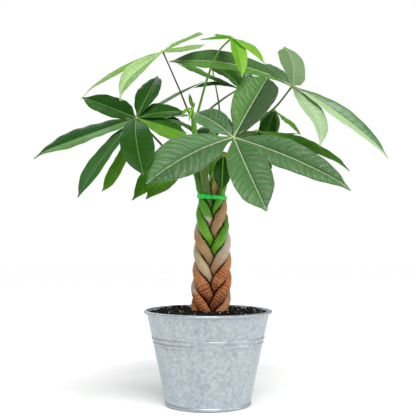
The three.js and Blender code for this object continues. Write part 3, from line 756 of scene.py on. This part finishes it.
def green_tie():
    """Soft bright green plastic, faintly ribbed along the band."""
    n = Nodes("green_tie", Specular_IOR_Level=0.5)
    place = n.place()
    cloud = n.noise(place, 6, 3)
    greens = [(0.3, (0.0, 0.42, 0.03)), (0.55, (0.004, 0.66, 0.05)), (0.8, (0.03, 0.85, 0.10))]
    colour = n.ramp(cloud, greens)
    ribs = n.noise(n.place((0.15, 0.15, 3.0)), 1.0, 2)
    return n.finish(colour, n.range(cloud, 0.3, 0.7, 0.24, 0.36), n.bump(ribs, 0.12))


# ---------------------------------------------------------------- leaves

# Share of the length from the stalk, and of the half-width there.
BLADE = [
    (0, 0.06), (0.07, 0.18), (0.24, 0.72), (0.5, 1), (0.72, 0.86), (0.88, 0.45), (0.95, 0.15), (1, 0.04),
]
BLADE_THICKNESS = 0.5
VEIN_SPACING = 8.5  # between side veins on a leaflet of middle size


PLAIN_LEAF = {
    "bow": 0, "fold": 14, "twist": 0, "drip": 0, "peak": 0.5, "skew": 0, "slant": 0, "puff": 0.35,
    "shine": 1.0, "crisp": 1.0,
}


def leaf(tip, width, face, tone, warm, arch, **form):
    """
    One leaflet of a table. `face` is the way its upper side looks. `tone` goes from the darkest green,
    0, to the palest, 1, one for both halves or (left, right), and `warm` from bluish to yellowish
    green. `arch` is how far the leaflet bulges the way it faces and `bow` how far to its side.

    `fold` is the angle by which both halves rise from the midrib, `twist` its turn about the midrib at
    the tip, `drip` how far the thin tip hangs and `peak` the share of the length at which it is widest.
    `skew` moves the highest place of the bulge towards the stalk, and `slant` moves one half's edge
    towards the tip and the other's back. `puff` is how far the blade stands up between its side veins,
    `shine` how glossy it is, from 0 to 1, one for both halves or (left, right), and `crisp` the share
    of its slot's bumps and of the shade painted along its side veins that it shows.
    """
    basics = {"tip": tip, "width": width, "face": face, "tone": tone, "warm": warm, "arch": arch}
    return {**PLAIN_LEAF, **basics, **form}


FRONDS = {
    "frond_left": {
        "root": (-14, 10, 294), "bends": [(-45, 0, 318), (-68, -22, 341)], "hub": (-88, -45, 361),
        "leaves": [
            leaf((-66, 15, 424), 31, (-0.3, -0.9, 0.4), 0.15, 0.9, 4, bow=2.5, fold=10),
            leaf((-165, 20, 397), 34, (0, -0.9, 0.5), (0.22, 0.12), 0.9, 0.5, bow=0.5, peak=0.38),
            # The paler left half of this leaflet is partly its under side's own colour and partly painted
            # sheen.
            leaf((-210, -70, 313), 43, (-0.2, -0.55, 0.8), (0.5, 0.2), 0.35, 1.5, fold=6, drip=4,
                 peak=0.43),
            leaf((-151, -110, 261), 28, (-0.4, -0.75, 0.55), (0.34, 0.3), 0.3, 4, bow=1, fold=16, peak=0.6),
            leaf((-73, -132, 285), 41, (0, -0.7, 0.7), 0.15, 0.95, 12, bow=4, peak=0.67),
            leaf((-31, -6, 375), 32, (0, -0.7, 0.7), (0.16, 0.22), 0.9, 4, bow=1),
            leaf((-26, -48, 342), 36, (0.1, -0.75, 0.7), (0.2, 0.5), 0.95, 1, fold=-6, peak=0.64,
                 slant=0.5),
            leaf((-134, -20, 272), 20, (-0.4, -0.85, 0.3), (0.5, 0.42), 1.0, 2, bow=-9, peak=0.65),
            leaf((-6, 112, 434), 12, (0, 0.1, 1), 0.4, 0.5, 0.5, fold=20, peak=0.42),
        ],
    },
    "frond_high_left": {
        "root": (-18, -6, 362), "bends": [(-25, -4, 375), (-36, -4, 402)], "hub": (-58, -6, 452),
        "thick": (1.5, 0.8), "stalk": 0.15,
        "leaves": [
            # The palest tone of these leaflets is partly their paler under side and partly painted light
            # shining through them.
            leaf((-153, -70, 386), 14, (-0.3, 0.42, 1), 1.0, 0.7, 3, drip=6, peak=0.42),
            leaf((-101, -105, 374), 28, (-0.6, 0.65, 0.5), 1.0, 0.7, 11.5, skew=-0.6, peak=0.7),
            leaf((-6, 60, 489), 28, (0, 0.28, 1), 0.8, 0.7, 1),
            leaf((-4, -75, 446), 18, (0.1, 0.08, 1), 0.85, 0.75, -3.5),
        ],
    },
    "frond_front": {
        "root": (23, -16, 310), "bends": [(26, -45, 314), (29, -80, 322)], "hub": (30, -95, 332),
        "thick": (2.2, 1.5),
        "leaves": [
            leaf((-70, -130, 276), 55, (-0.05, -0.88, 0.5), (0.3, 0.4), 0.35, 6, bow=3.5, fold=10,
                 peak=0.56, slant=0.12, puff=1.7),
            leaf((-17, -45, 368), 36, (-0.1, -0.7, 0.7), (0.46, 0.36), 0.2, 5, fold=12, puff=1.5),
            # The very dark tone of this leaflet's right half is painted shade, where the fold turns that
            # half away from the light.
            leaf((74, -45, 412), 52, (-0.1, -0.95, 0.3), (0.36, 0.09), 0.8, 6, shine=(1, 0.2), bow=1,
                 fold=16, peak=0.6, slant=0.05, puff=1.7),
            leaf((161, -135, 271), 40, (0.12, -0.95, 0.42), (0.3, 0.33), 0.45, 7, bow=-1, fold=12, drip=3,
                 peak=0.45, puff=1.5),
            leaf((64, -170, 244), 51, (0.1, -0.85, 0.5), (0.28, 0.36), 0.45, 6, bow=3, fold=10, peak=0.6,
                 slant=0.2, puff=1.3),
            leaf((-1, -8, 377), 28, (0.1, -0.4, 0.8), 0.2, 0.5, 1),
        ],
    },
    "frond_right": {
        "root": (35, 22, 342), "bends": [(58, 16, 361), (86, 2, 381)], "hub": (107, -15, 406),
        "thick": (1.8, 1.1), "stalk": 0.45,
        "leaves": [
            leaf((90, -90, 440), 31, (-0.15, 0.6, 0.8), 0.78, 0.15, 4, crisp=0.3, bow=-6, fold=8,
                 peak=0.3, slant=1.3),
            # The pale tone of this leaflet's right half is painted sheen.
            leaf((221, -50, 315), 27, (0.3, -0.8, 0.6), (0.42, 0.82), 0.3, 7, crisp=0, bow=0.3, fold=18,
                 drip=3),
            # The pale tone of this leaflet is painted sheen on its upper side.
            leaf((135, -70, 327), 29, (0.4, -1, 0.2), (0.78, 0.84), 0.15, 2, crisp=0.2, bow=-8, skew=-0.8,
                 fold=16, twist=-12, drip=3, peak=0.47),
            leaf((-53, 62, 452), 37, (0, -0.82, 0.6), (0.4, 0.24), 0.95, 9.5, shine=0.25, bow=8, skew=0.1,
                 peak=0.62),
            leaf((62, 34, 443), 24, (0, -0.6, 0.85), 0.35, 0.4, 3),
            leaf((180, 58, 377), 18, (0.2, 0.3, 0.95), 0.3, 0.4, 1),
        ],
    },
    "frond_young_top": {
        "root": (-18, -7, 360), "bends": [(-13, -8, 374), (-3, -9, 410), (6.5, -13, 436), (16, -16, 453)],
        "hub": (30, -20, 466), "thick": (1.7, 1.1), "stalk": 0.66,
        "leaves": [
            leaf((-9, -80, 450.5), 20, (0, 0.1, 1), 0.6, 1.0, 0),
            leaf((9, 45, 484), 14, (0, 0, 1), 0.6, 1.0, 0.5),
            leaf((41, -80, 405), 20, (0.2, -0.5, 0.9), (0.72, 0.62), 1.0, 7, fold=16),
            leaf((69, -60, 426), 20, (0.5, -0.7, 0.5), (0.66, 0.72), 1.0, 4, bow=3, fold=14),
        ],
    },
    "frond_back_high": {
        "root": (8, 28, 364), "bends": [(0, 34, 378), (18, 52, 398)], "hub": (43, 72, 417),
        "leaves": [
            leaf((0, 66, 446), 36, (0, -0.6, 0.8), (0.3, 0.2), 0.7, 7),
            leaf((-20, 62, 416), 18, (0, -0.5, 0.9), 0.45, 0.5, 5),
            leaf((-41, 80, 452), 26, (0, -0.35, 0.93), 0.5, 0.5, -2, peak=0.7),
            leaf((79, 120, 436), 34, (0.1, -0.2, 1), 0.2, 0.5, 8),
            leaf((52, 148, 440), 38, (0, 0.3, 0.95), 0.22, 0.5, 12),
            leaf((86, 104, 398), 28, (0.2, 0, 1), 0.25, 0.6, 9),
        ],
    },
    "frond_back_top": {
        "root": (9, 28, 358), "bends": [(15, 54, 380), (12, 106, 420)], "hub": (6, 122, 454),
        "thick": (1.5, 0.9),
        "leaves": [
            leaf((-30, 152, 468), 26, (-0.1, 0.1, 1), 0.4, 0.6, 5),
            leaf((-14, 190, 474), 28, (0, 0.35, 0.95), 0.35, 0.7, 3),
            leaf((62, 182, 442), 28, (0.1, 0.3, 0.95), 0.3, 0.5, 10),
        ],
    },
    "frond_right_inner": {
        "root": (39, 26, 362), "bends": [(58, 34, 372)], "hub": (89, 42, 383), "thick": (1.6, 1.0),
        "leaves": [
            leaf((121, 16, 347), 25, (0.5, -0.3, 0.8), (0.5, 0.5), 0.95, 0, fold=8),
            leaf((73, 62, 338), 24, (0, -0.95, 0.2), 0.22, 0.7, 4),
            leaf((78, 122, 362), 22, (0.1, 0.4, 0.9), 0.25, 0.5, 2),
            leaf((88, 92, 350), 18, (0.4, 0.2, 0.9), 0.3, 0.6, 2),
        ],
    },
    "frond_right_low": {
        "root": (26, 19, 316), "bends": [(42, 20, 336)], "hub": (63, 18, 353), "thick": (1.7, 1.1),
        "leaves": [
            leaf((179, -18, 303), 30, (0.2, -0.55, 0.8), (0.46, 0.4), 0.75, 4, drip=5, peak=0.45),
            leaf((132, 48, 302), 32, (0.5, -0.2, 0.8), 0.25, 0.6, 7),
            leaf((70, 44, 292), 32, (0.2, -0.7, 0.5), 0.2, 0.6, 6),
            leaf((38, 92, 318), 28, (0.1, 0.3, 0.9), 0.25, 0.5, 9),
        ],
    },
    "frond_young_low": {
        "root": (22, -13, 305), "bends": [(19, -28, 313)], "hub": (19, -43, 316), "thick": (1.4, 1.0),
        "stalk": 0.9,
        "leaves": [
            leaf((17, -66, 271), 22, (-0.1, -0.95, 0.3), (0.25, 0.2), 0.8, 3, fold=8),
            leaf((2, -53, 284), 3, (-0.3, -0.9, 0.3), 0.6, 1.0, 2),
            leaf((5, -41, 275), 4, (-0.3, -0.9, 0.3), 0.6, 1.0, -3),
        ],
    },
    "frond_left_low": {
        "root": (-10, -9, 314), "bends": [(-24, -22, 322)], "hub": (-38, -36, 328),
        "leaves": [
            leaf((-91, -76, 259), 33, (-0.3, -0.8, 0.6), (0.5, 0.42), 0.95, 4, bow=-6),
            leaf((-73, -92, 260), 38, (0, -0.8, 0.6), (0.5, 0.46), 0.9, 4, bow=-8),
            leaf((-32, -80, 285), 28, (0.2, -0.8, 0.6), 0.18, 0.6, 6),
            leaf((-88, -10, 298), 28, (-0.2, -0.4, 0.9), 0.25, 0.8, 5),
        ],
    },
    "frond_back_left": {
        "root": (-35, 21, 347), "bends": [(-46, 44, 364)], "hub": (-59, 76, 377),
        "leaves": [
            leaf((-96, 152, 380), 34, (-0.3, 0.1, 0.95), 0.22, 0.5, 2),
            leaf((-48, 180, 362), 32, (-0.1, 0.3, 0.9), 0.25, 0.5, 5),
            leaf((-18, 140, 361), 34, (0.1, -0.45, 0.9), 0.2, 0.6, 3),
            leaf((-28, 130, 388), 28, (0.1, -0.4, 0.9), 0.22, 0.5, 1),
        ],
    },
    "frond_back_low": {
        "root": (5, 16, 326), "bends": [(2, 54, 334)], "hub": (-6, 104, 336), "thick": (2.0, 1.3),
        "leaves": [
            leaf((-88, 116, 296), 38, (-0.3, -0.1, 0.9), 0.22, 0.5, 11),
            leaf((-58, 176, 291), 40, (-0.3, 0.6, 0.7), 0.3, 0.3, 13),
            leaf((14, 206, 292), 42, (0.1, 0.6, 0.8), 0.25, 0.3, 14),
            leaf((62, 144, 290), 40, (0.4, 0.1, 0.9), 0.2, 0.5, 11),
            leaf((10, 172, 376), 34, (0, -0.3, 0.95), 0.2, 0.5, 8),
        ],
    },
    "frond_back_right": {
        "root": (23, 18, 308), "bends": [(44, 48, 316)], "hub": (76, 96, 330), "thick": (1.9, 1.2),
        "leaves": [
            leaf((170, 118, 296), 38, (0.4, 0, 0.9), 0.22, 0.5, 14, drip=4),
            leaf((142, 178, 304), 38, (0.4, 0.5, 0.8), 0.28, 0.3, 10),
            leaf((74, 190, 300), 36, (0, 0.5, 0.8), 0.25, 0.4, 12),
            leaf((66, 44, 282), 28, (0.3, -0.5, 0.7), 0.2, 0.6, 6),
            leaf((132, 150, 364), 28, (0.2, 0, 1), 0.22, 0.6, 6),
        ],
    },
    "shoot_tip": {
        "root": (-19, -6, 371), "bends": [], "hub": (-20, -8, 379), "thick": (1.9, 1.2), "stalk": 0.8,
        "leaves": [
            leaf((-24, -12, 397), 5, (0, -0.95, 0.1), 0.35, 0.9, 1.5, fold=20),
            leaf((-18, -13, 386), 4, (0.5, -0.8, 0.1), 0.6, 1.0, 1, fold=20),
            leaf((-33, -22, 368), 7, (-0.3, -0.8, 0.5), 0.6, 1.0, 2, fold=16),
            leaf((-24, -24, 360), 4, (0, -0.8, 0.5), 0.7, 1.0, 2, fold=16),
        ],
    },
}


def moved(t, peak):
    """A share of the length, moved so that the widest place of the blade, at 0.5, comes to `peak`."""
    return np.where(t < 0.5, t * peak / 0.5, peak + (t - 0.5) * (1 - peak) / 0.5)


def side_veins(t, across, half, length, seed):
    """The number of the side vein at a point, with whole numbers on the veins, for both halves."""
    spacing = VEIN_SPACING * (length / 100) ** 0.5
    out = np.abs(across) * half
    forward = 0.45 * out + 0.35 * out**2 / max(half.max(), 1)
    uneven = 0.16 * np.sin(TURN * (3.1 * t + 0.13 * seed)) + 0.1 * np.sin(TURN * (5.7 * t + 0.31 * seed))
    return (t * length - forward) / spacing + 0.45 * (across > 0) + uneven


def add_leaflet(shape, hub, plan, seed):
    """A leaflet as a thin closed blade with its midrib, side veins and waved edge."""
    width = plan["width"]
    start = vec(hub)
    chord = vec(plan["tip"]) - start
    length = np.linalg.norm(chord)
    lift = square_to(vec(plan["face"]), chord / length)
    aside = np.cross(chord / length, lift)

    def middle(t):
        hang = plan["drip"] * np.maximum(0, (t - 0.84) / 0.16) ** 2
        bulge = 4 * t * (1 - t) * (1 + plan["skew"] * (1 - 2 * t))
        point = start + chord * t - UP * hang
        return point + lift * (plan["arch"] * bulge) + aside * (plan["bow"] * bulge)

    rows = int(np.clip(length / 1.25, 16, 110))
    halves = int(np.clip(width / 2 / 1.35, 3, 18))
    even = np.linspace(-1, 1, 2 * halves + 1)
    across = np.sign(even) * np.abs(even) ** 1.25
    station = np.linspace(0, 1, rows)[:, None]
    t = moved(station, plan["peak"])
    share = smooth_along(BLADE, station[:, 0])[:, None]
    ahead = unit(middle(t + 0.01) - middle(t - 0.01))
    turn = np.radians(plan["twist"] * t)
    normal = square_to(lift, ahead)
    normal = normal * np.cos(turn) + np.cross(ahead, normal) * np.sin(turn)
    side = np.cross(ahead, normal)

    half = np.maximum(width / 2 * share, 0.45)
    rise = np.radians(plan["fold"] * np.minimum(1, 3 * share))
    far = np.abs(across)
    phase = np.where(across < 0, 0.1 + width / 90, 0.55 + width / 70)
    ripple = 0.06 * half * np.sin(TURN * (1.7 * t + phase))
    flutter = 0.02 * half * np.sin(TURN * (6.3 * t + 2.3 * phase + 0.17 * seed))
    crown = 0.05 * half * 4 * far * (1 - far)
    vein = side_veins(t, across, half, length, seed)
    quilt = np.abs(np.sin(math.pi * vein)) ** 0.7 * np.minimum(1, half / 9)
    quilt = quilt * np.sqrt(np.sin(math.pi * t) + 1e-9)
    quilt = quilt * plan["puff"] * np.minimum(1, far / 0.15) * (1 - far**5)
    out = across * half
    rib = 0.22 * np.exp(-((out / 0.55) ** 2))
    height = far * half * np.sin(rise) + ripple * far**1.3 + flutter * far**4 + crown + quilt
    thick = (BLADE_THICKNESS * (1 - 0.5 * far**3) + 1.0 * np.maximum(0, 1 - t / 0.1)) / 2
    keel = 0.75 * np.exp(-((out / 0.8) ** 2)) * (1 - t) ** 0.6

    def surface(level):
        flat = side + plan["slant"] * ahead
        sideways = (out * np.cos(rise))[:, :, None] * flat[:, None, :]
        return middle(t)[:, None, :] + sideways + level[:, :, None] * normal[:, None, :]

    top, under = surface(height + thick + rib), surface(height - thick - keel)
    points = np.concatenate([top, under[:, ::-1]], axis=1)
    both = lambda values: np.concatenate([values, values[:, ::-1]], axis=1)
    spread = np.broadcast_to(across, out.shape)
    tones = sided(plan["tone"], spread)
    columns = points.shape[1]
    faces = [face[::-1] for face in ring_faces(rows, columns, "open")]
    faces += leaf_end(0, columns) + [face[::-1] for face in leaf_end((rows - 1) * columns, columns)]
    shape.add(
        points.reshape(-1, 3), faces, finish=0,
        length=both(np.broadcast_to(t, out.shape)), out=both(np.abs(out)), vein=both(vein),
        under=np.concatenate([np.zeros_like(out), np.ones_like(out)], axis=1),
        margin=both(np.broadcast_to(far, out.shape)), tone=both(tones), warm=plan["warm"],
        broad=both(np.broadcast_to(half, out.shape)), crisp=plan["crisp"],
        shine=both(sided(plan["shine"], spread)),
    )


def sided(value, across):
    """One value for a whole blade, or one for each side of its midrib."""
    left, right = value if isinstance(value, tuple) else (value, value)
    return mix(left, right, fade(across, -0.06, 0.06))


def leaf_end(first, columns):
    """Quads over the narrow end of a blade, between its upper and its under side."""
    last = first + columns - 1
    return [[first + j, first + j + 1, last - 1 - j, last - j] for j in range(columns // 2 - 1)]


def add_stalk(shape, path, thick, tint):
    """A petiole with a swelling at its foot and below the leaflets."""
    steps = 14 * (len(path) - 1)
    line = smooth_path(path, steps)
    t = np.linspace(0, 1, steps + 1)[:, None]
    swell = 1 + 0.4 * np.exp(-((t / 0.06) ** 2)) + 0.45 * np.exp(-(((1 - t) / 0.05) ** 2))
    out = directions_round(line, 12)
    points = line[:, None, :] + out * (mix(thick[0], thick[1], t) * swell)[:, :, None]
    values = np.repeat(t[:, 0], 12)
    shape.add(points.reshape(-1, 3), ring_faces(steps + 1, 12), finish=1, length=values, tone=tint)


def add_knob(shape, hub, radius, seed):
    """The small knob where the leaflets meet, with low random bumps."""
    points, faces = FINE_BALL
    pushed = points * (radius * (1 + 0.12 * wobble(points * 3, 2.4, seed)))[:, None]
    shape.add(pushed * vec([1, 1, 0.85]) + vec(hub), faces, finish=1, length=1.0, tone=1.0)


def frond(name):
    plan = FRONDS[name]
    thick = plan.get("thick", (1.9, 1.1))
    shape = Shape()
    add_stalk(shape, [plan["root"], *plan["bends"], plan["hub"]], thick, plan.get("stalk", 0.55))
    add_knob(shape, plan["hub"], thick[1] + 1.1, len(name))
    for number, leaflet in enumerate(plan["leaves"]):
        add_leaflet(shape, plan["hub"], leaflet, number + len(name))
    return shape


COOL_GREENS = [
    (0.0, (0.003, 0.030, 0.004)), (0.2, (0.010, 0.070, 0.012)), (0.45, (0.055, 0.175, 0.065)),
    (0.7, (0.22, 0.40, 0.19)), (1.0, (0.48, 0.64, 0.42)),
]
WARM_GREENS = [
    (0.0, (0.003, 0.036, 0.001)), (0.2, (0.014, 0.105, 0.002)), (0.45, (0.08, 0.29, 0.004)),
    (0.7, (0.33, 0.66, 0.05)), (1.0, (0.64, 0.90, 0.40)),
]


def leaf_material(slot, rib, gloss, specular, sheer, below, relief, painted_crease_shade, rib_width,
                  sent=(0.95, 1.0, 0.35)):
    """
    A leaf blade whose attributes carry its tone, veins and sides. `rib` is the midrib's colour, which
    is also painted as a highlight along the margin, `rib_width` its share of the usual width, `gloss`
    its roughness, `specular` how strongly it reflects, `sheer` how much light comes through and `sent`
    the tint of that light, `below` the colour that its under side leans to, `relief` the strength of its
    fine bumps and `painted_crease_shade` how dark the shade painted along its side veins is.
    """
    n = Nodes(slot, Specular_IOR_Level=specular)
    place = n.place()
    patch = n.noise(place, 16, 3)
    fine = n.noise(place, 1.4, 3)
    net = n.cells(place, 1.7, "DISTANCE_TO_EDGE")
    tone = n.sum("ADD", n.attribute("tone"), n.sum("MULTIPLY_ADD", patch, 0.16, -0.08))
    tone = n.sum("ADD", tone, n.sum("MULTIPLY_ADD", fine, 0.06, -0.03))
    warm = n.sum("ADD", n.attribute("warm"), n.sum("MULTIPLY_ADD", patch, 0.2, -0.1))
    colour = n.blend(warm, n.ramp(tone, COOL_GREENS), n.ramp(tone, WARM_GREENS))
    under = n.attribute("under")
    pale = n.blend(0.5, colour, below)
    colour = n.blend(n.range(under, 0.3, 0.7), colour, pale)

    crisp = n.attribute("crisp")
    beside = n.sum("PINGPONG", n.attribute("vein"), 0.5)
    inside = n.range(n.attribute("margin"), 0.96, 0.7)
    # Painted shade: the blade is darkened along its side veins, where they lie sunk between the puffed
    # blade, as the shade in those creases would darken it. `line` is the veins' own paler colour.
    crease = n.times(n.range(beside, 0.11, 0.0), inside)
    line = n.times(n.range(beside, 0.035, 0.0), inside)
    dark = n.times(n.times(crease, crisp), painted_crease_shade)
    colour = n.blend(dark, colour, (0.004, 0.030, 0.006))
    colour = n.blend(n.times(line, 0.30), colour, rib)
    colour = n.blend(n.range(net, 0.12, 0.0, 0.0, 0.10), colour, rib)
    narrow = n.sum("MULTIPLY_ADD", n.attribute("length"), -0.42 * rib_width, 0.72 * rib_width)
    midrib = n.range(n.sum("DIVIDE", n.attribute("out"), narrow), 1.35, 0.75)
    colour = n.blend(midrib, colour, rib)
    # Painted highlight: a pale line of the midrib's colour along the margin of broad blades stands in for
    # the light caught by the leaf's edge.
    rim = n.range(n.attribute("margin"), 0.955, 1.0)
    edge = n.times(rim, n.range(n.attribute("broad"), 2.0, 5.0))
    colour = n.blend(n.times(edge, 0.4), colour, rib)

    roughness = n.range(patch, 0.3, 0.7, gloss - 0.05, gloss + 0.08)
    roughness = n.sum("ADD", roughness, n.times(under, 0.15))
    dull = n.sum("MULTIPLY_ADD", n.attribute("shine"), -0.4, 0.4)
    roughness = n.sum("ADD", roughness, dull)
    veined = n.bump(n.times(n.range(beside, 0.0, 0.16), crisp), 3.5 * relief)
    netted = n.bump(n.times(n.range(net, 0.0, 0.25), crisp), relief, veined)
    normal = n.bump(fine, 0.5 * relief, netted)
    n.finish(colour, roughness, normal)
    return see_through(n, n.blend(1.0, colour, sent, "MULTIPLY"), sheer)


def see_through(n, colour, share):
    """Lets a share of the light through from behind."""
    sent = n.node("ShaderNodeBsdfTranslucent")
    n.feed(sent.inputs["Color"], colour)
    both = n.node("ShaderNodeMixShader")
    both.inputs[0].default_value = share
    n.link(n.shader.outputs[0], both.inputs[1])
    n.link(sent.outputs[0], both.inputs[2])
    output = next(node for node in n.tree.nodes if node.type == "OUTPUT_MATERIAL")
    n.link(both.outputs[0], output.inputs["Surface"])
    return n.material


def stalk_material():
    """Petioles and knobs, from dark olive brown through green to yellow green."""
    n = Nodes("stalk", Specular_IOR_Level=0.3)
    place = n.place()
    grain = n.noise(place, 2.2, 3)
    shade = n.sum("ADD", n.attribute("tone"), n.sum("MULTIPLY_ADD", grain, 0.24, -0.12))
    near_hub = n.range(n.attribute("length"), 0.93, 1.0, 0.0, 0.35)
    colour = n.ramp(n.sum("ADD", shade, near_hub), [
        (0.0, (0.045, 0.03, 0.025)), (0.3, (0.07, 0.085, 0.03)), (0.55, (0.075, 0.16, 0.02)),
        (0.8, (0.14, 0.38, 0.02)), (1.0, (0.38, 0.62, 0.03)),
    ])
    return n.finish(colour, n.range(grain, 0.3, 0.7, 0.35, 0.5), n.bump(grain, 0.12))


LEAF_SLOTS = {
    "dark_leaf": dict(rib=(0.24, 0.36, 0.13), gloss=0.34, specular=0.10, sheer=0.26,
                      below=(0.20, 0.42, 0.07), relief=0.05, painted_crease_shade=0.35, rib_width=0.7),
    "mid_leaf": dict(rib=(0.56, 0.58, 0.40), gloss=0.34, specular=0.48, sheer=0.12,
                     below=(0.24, 0.42, 0.16), relief=0.12, painted_crease_shade=0.85, rib_width=0.9),
    # The pale slot's under-side colour is partly the leaves' own paler under side and partly painted light
    # shining through them.
    "pale_leaf": dict(rib=(0.42, 0.66, 0.14), gloss=0.45, specular=0.1, sheer=0.5,
                      below=(0.84, 0.97, 0.66), relief=0.01, painted_crease_shade=0.12, rib_width=0.8,
                      sent=(1.0, 1.0, 0.9)),
    "young_leaf": dict(rib=(0.42, 0.74, 0.10), gloss=0.30, specular=0.35, sheer=0.5,
                       below=(0.34, 0.72, 0.05), relief=0.02, painted_crease_shade=0.2, rib_width=1.0),
}


# ---------------------------------------------------------------- the object


SLOTS = {row["node"]: row["material_slot"] for row in frame["record"]["subparts"]}


def dress_pot():
    metal = galvanised()
    add_piece("pot_sheet", pot_wall(), "galvanised_sheet", [metal], "pot_wall")
    base = frame["nodes"]["pot_base"]
    base.data.materials.clear()
    base.data.materials.append(metal)


def dress_soil():
    dark = earth()
    add_piece("soil_body", soil(), "potting_soil", [dark], "soil")
    add_piece("soil_crumbs", scatter(1500, (0.7, 1.9), 21, 0.2), "potting_soil", [dark])
    add_piece("soil_perlite", scatter(170, (0.55, 1.25), 22, 0.1), "potting_soil", [perlite()])


def dress_stems():
    for strand in range(BRAID["strands"]):
        node = f"stem_{strand + 1}"
        add_piece(f"{node}_bark", stem(strand), SLOTS[node], [bark(strand)], node)
    add_piece("tie_strap", tie(), "green_tie", [green_tie()], "tie_band")


def dress_leaves():
    blades = {slot: leaf_material(slot, **look) for slot, look in LEAF_SLOTS.items()}
    stalk = stalk_material()
    for node in FRONDS:
        slot = SLOTS[node]
        add_piece(f"{node}_leaves", frond(node), slot, [blades[slot], stalk], node)


# ---------------------------------------------------------------- studio

CAMERA_PLACE = (0, -1110, 224.4)
FOCAL_PIXELS, PHOTO_PIXELS, SENSOR = 863, 416, 36
HORIZON_BELOW_MIDDLE = 21.2  # pixels of the photograph
ROOM_LIGHT = 0.42
FLOOR_SIDES, FLOOR_RADIUS, FLOOR_LEVEL = 96, 4000, -0.4
KEY_FROM = (0.1, -0.6, 0.85)  # where the broad leaves in front mirror it to the camera


def camera():
    data = bpy.data.cameras.new("camera")
    data.sensor_width = SENSOR
    data.lens = SENSOR * FOCAL_PIXELS / PHOTO_PIXELS
    data.shift_y = HORIZON_BELOW_MIDDLE / PHOTO_PIXELS
    data.clip_start = 0.01
    seat = put_in_scene("camera", data)
    seat.location = vec(CAMERA_PLACE) * MM
    seat.rotation_euler = (math.pi / 2, 0, 0)
    bpy.context.scene.camera = seat


def soft_sun(name, towards, strength, wide):
    """An even light from one side of the sky, as wide as a big softbox seen from the plant."""
    data = bpy.data.lights.new(name, "SUN")
    data.energy, data.angle, data.color = strength, math.radians(wide), (1.0, 0.99, 0.97)
    hang(name, data, towards, (0, 0, 0))


def area_light(name, place, target, size, watts):
    data = bpy.data.lights.new(name, "AREA")
    data.size, data.energy = size, watts
    hang(name, data, place, target)


def hang(name, data, place, target):
    """Puts a lamp at a place, turned towards another."""
    lamp = put_in_scene(name, data)
    lamp.location = place
    lamp.rotation_euler = (Vector(target) - Vector(place)).to_track_quat("-Z", "Y").to_euler()


def floor():
    """A wide pale floor."""
    shape = Shape()
    turn = np.linspace(0, TURN, FLOOR_SIDES, endpoint=False)
    level = np.full(FLOOR_SIDES, FLOOR_LEVEL)
    rim = np.column_stack([FLOOR_RADIUS * np.cos(turn), FLOOR_RADIUS * np.sin(turn), level])
    shape.add(rim, [list(range(FLOOR_SIDES))])
    piece = put_in_scene("floor", shape.mesh("floor"))
    n = Nodes("floor", Specular_IOR_Level=0.1)
    colour = n.ramp(n.noise(n.place(), 60, 2), [(0.3, (0.86, 0.86, 0.86)), (0.7, (0.9, 0.9, 0.9))])
    piece.data.materials.append(n.finish(colour, 0.8, n.bump(n.noise(n.place(), 30, 1), 0.01)))


def world():
    """A soft even light from all round, with plain white behind the object."""
    room = bpy.data.worlds.new("world")
    room.use_nodes = True
    tree = room.node_tree
    light = tree.nodes["Background"]
    light.inputs["Color"].default_value = (0.96, 0.98, 1, 1)
    light.inputs["Strength"].default_value = ROOM_LIGHT
    white = tree.nodes.new("ShaderNodeBackground")
    white.inputs["Color"].default_value = (1, 1, 1, 1)
    path = tree.nodes.new("ShaderNodeLightPath")
    both = tree.nodes.new("ShaderNodeMixShader")
    tree.links.new(path.outputs["Is Camera Ray"], both.inputs[0])
    tree.links.new(light.outputs[0], both.inputs[1])
    tree.links.new(white.outputs[0], both.inputs[2])
    tree.links.new(both.outputs[0], tree.nodes["World Output"].inputs["Surface"])
    bpy.context.scene.world = room


def studio():
    camera()
    floor()
    world()
    aim = (0, 0, 0.28)
    soft_sun("key", KEY_FROM, 2.9, 34)
    area_light("fill", (1.6, -0.5, 0.7), aim, 1.0, 6)
    area_light("back", (-0.5, 1.5, 1.3), aim, 1.2, 12)
    bpy.context.scene.view_settings.view_transform = "Standard"


studio()
dress_pot()
dress_soil()
dress_stems()
dress_leaves()
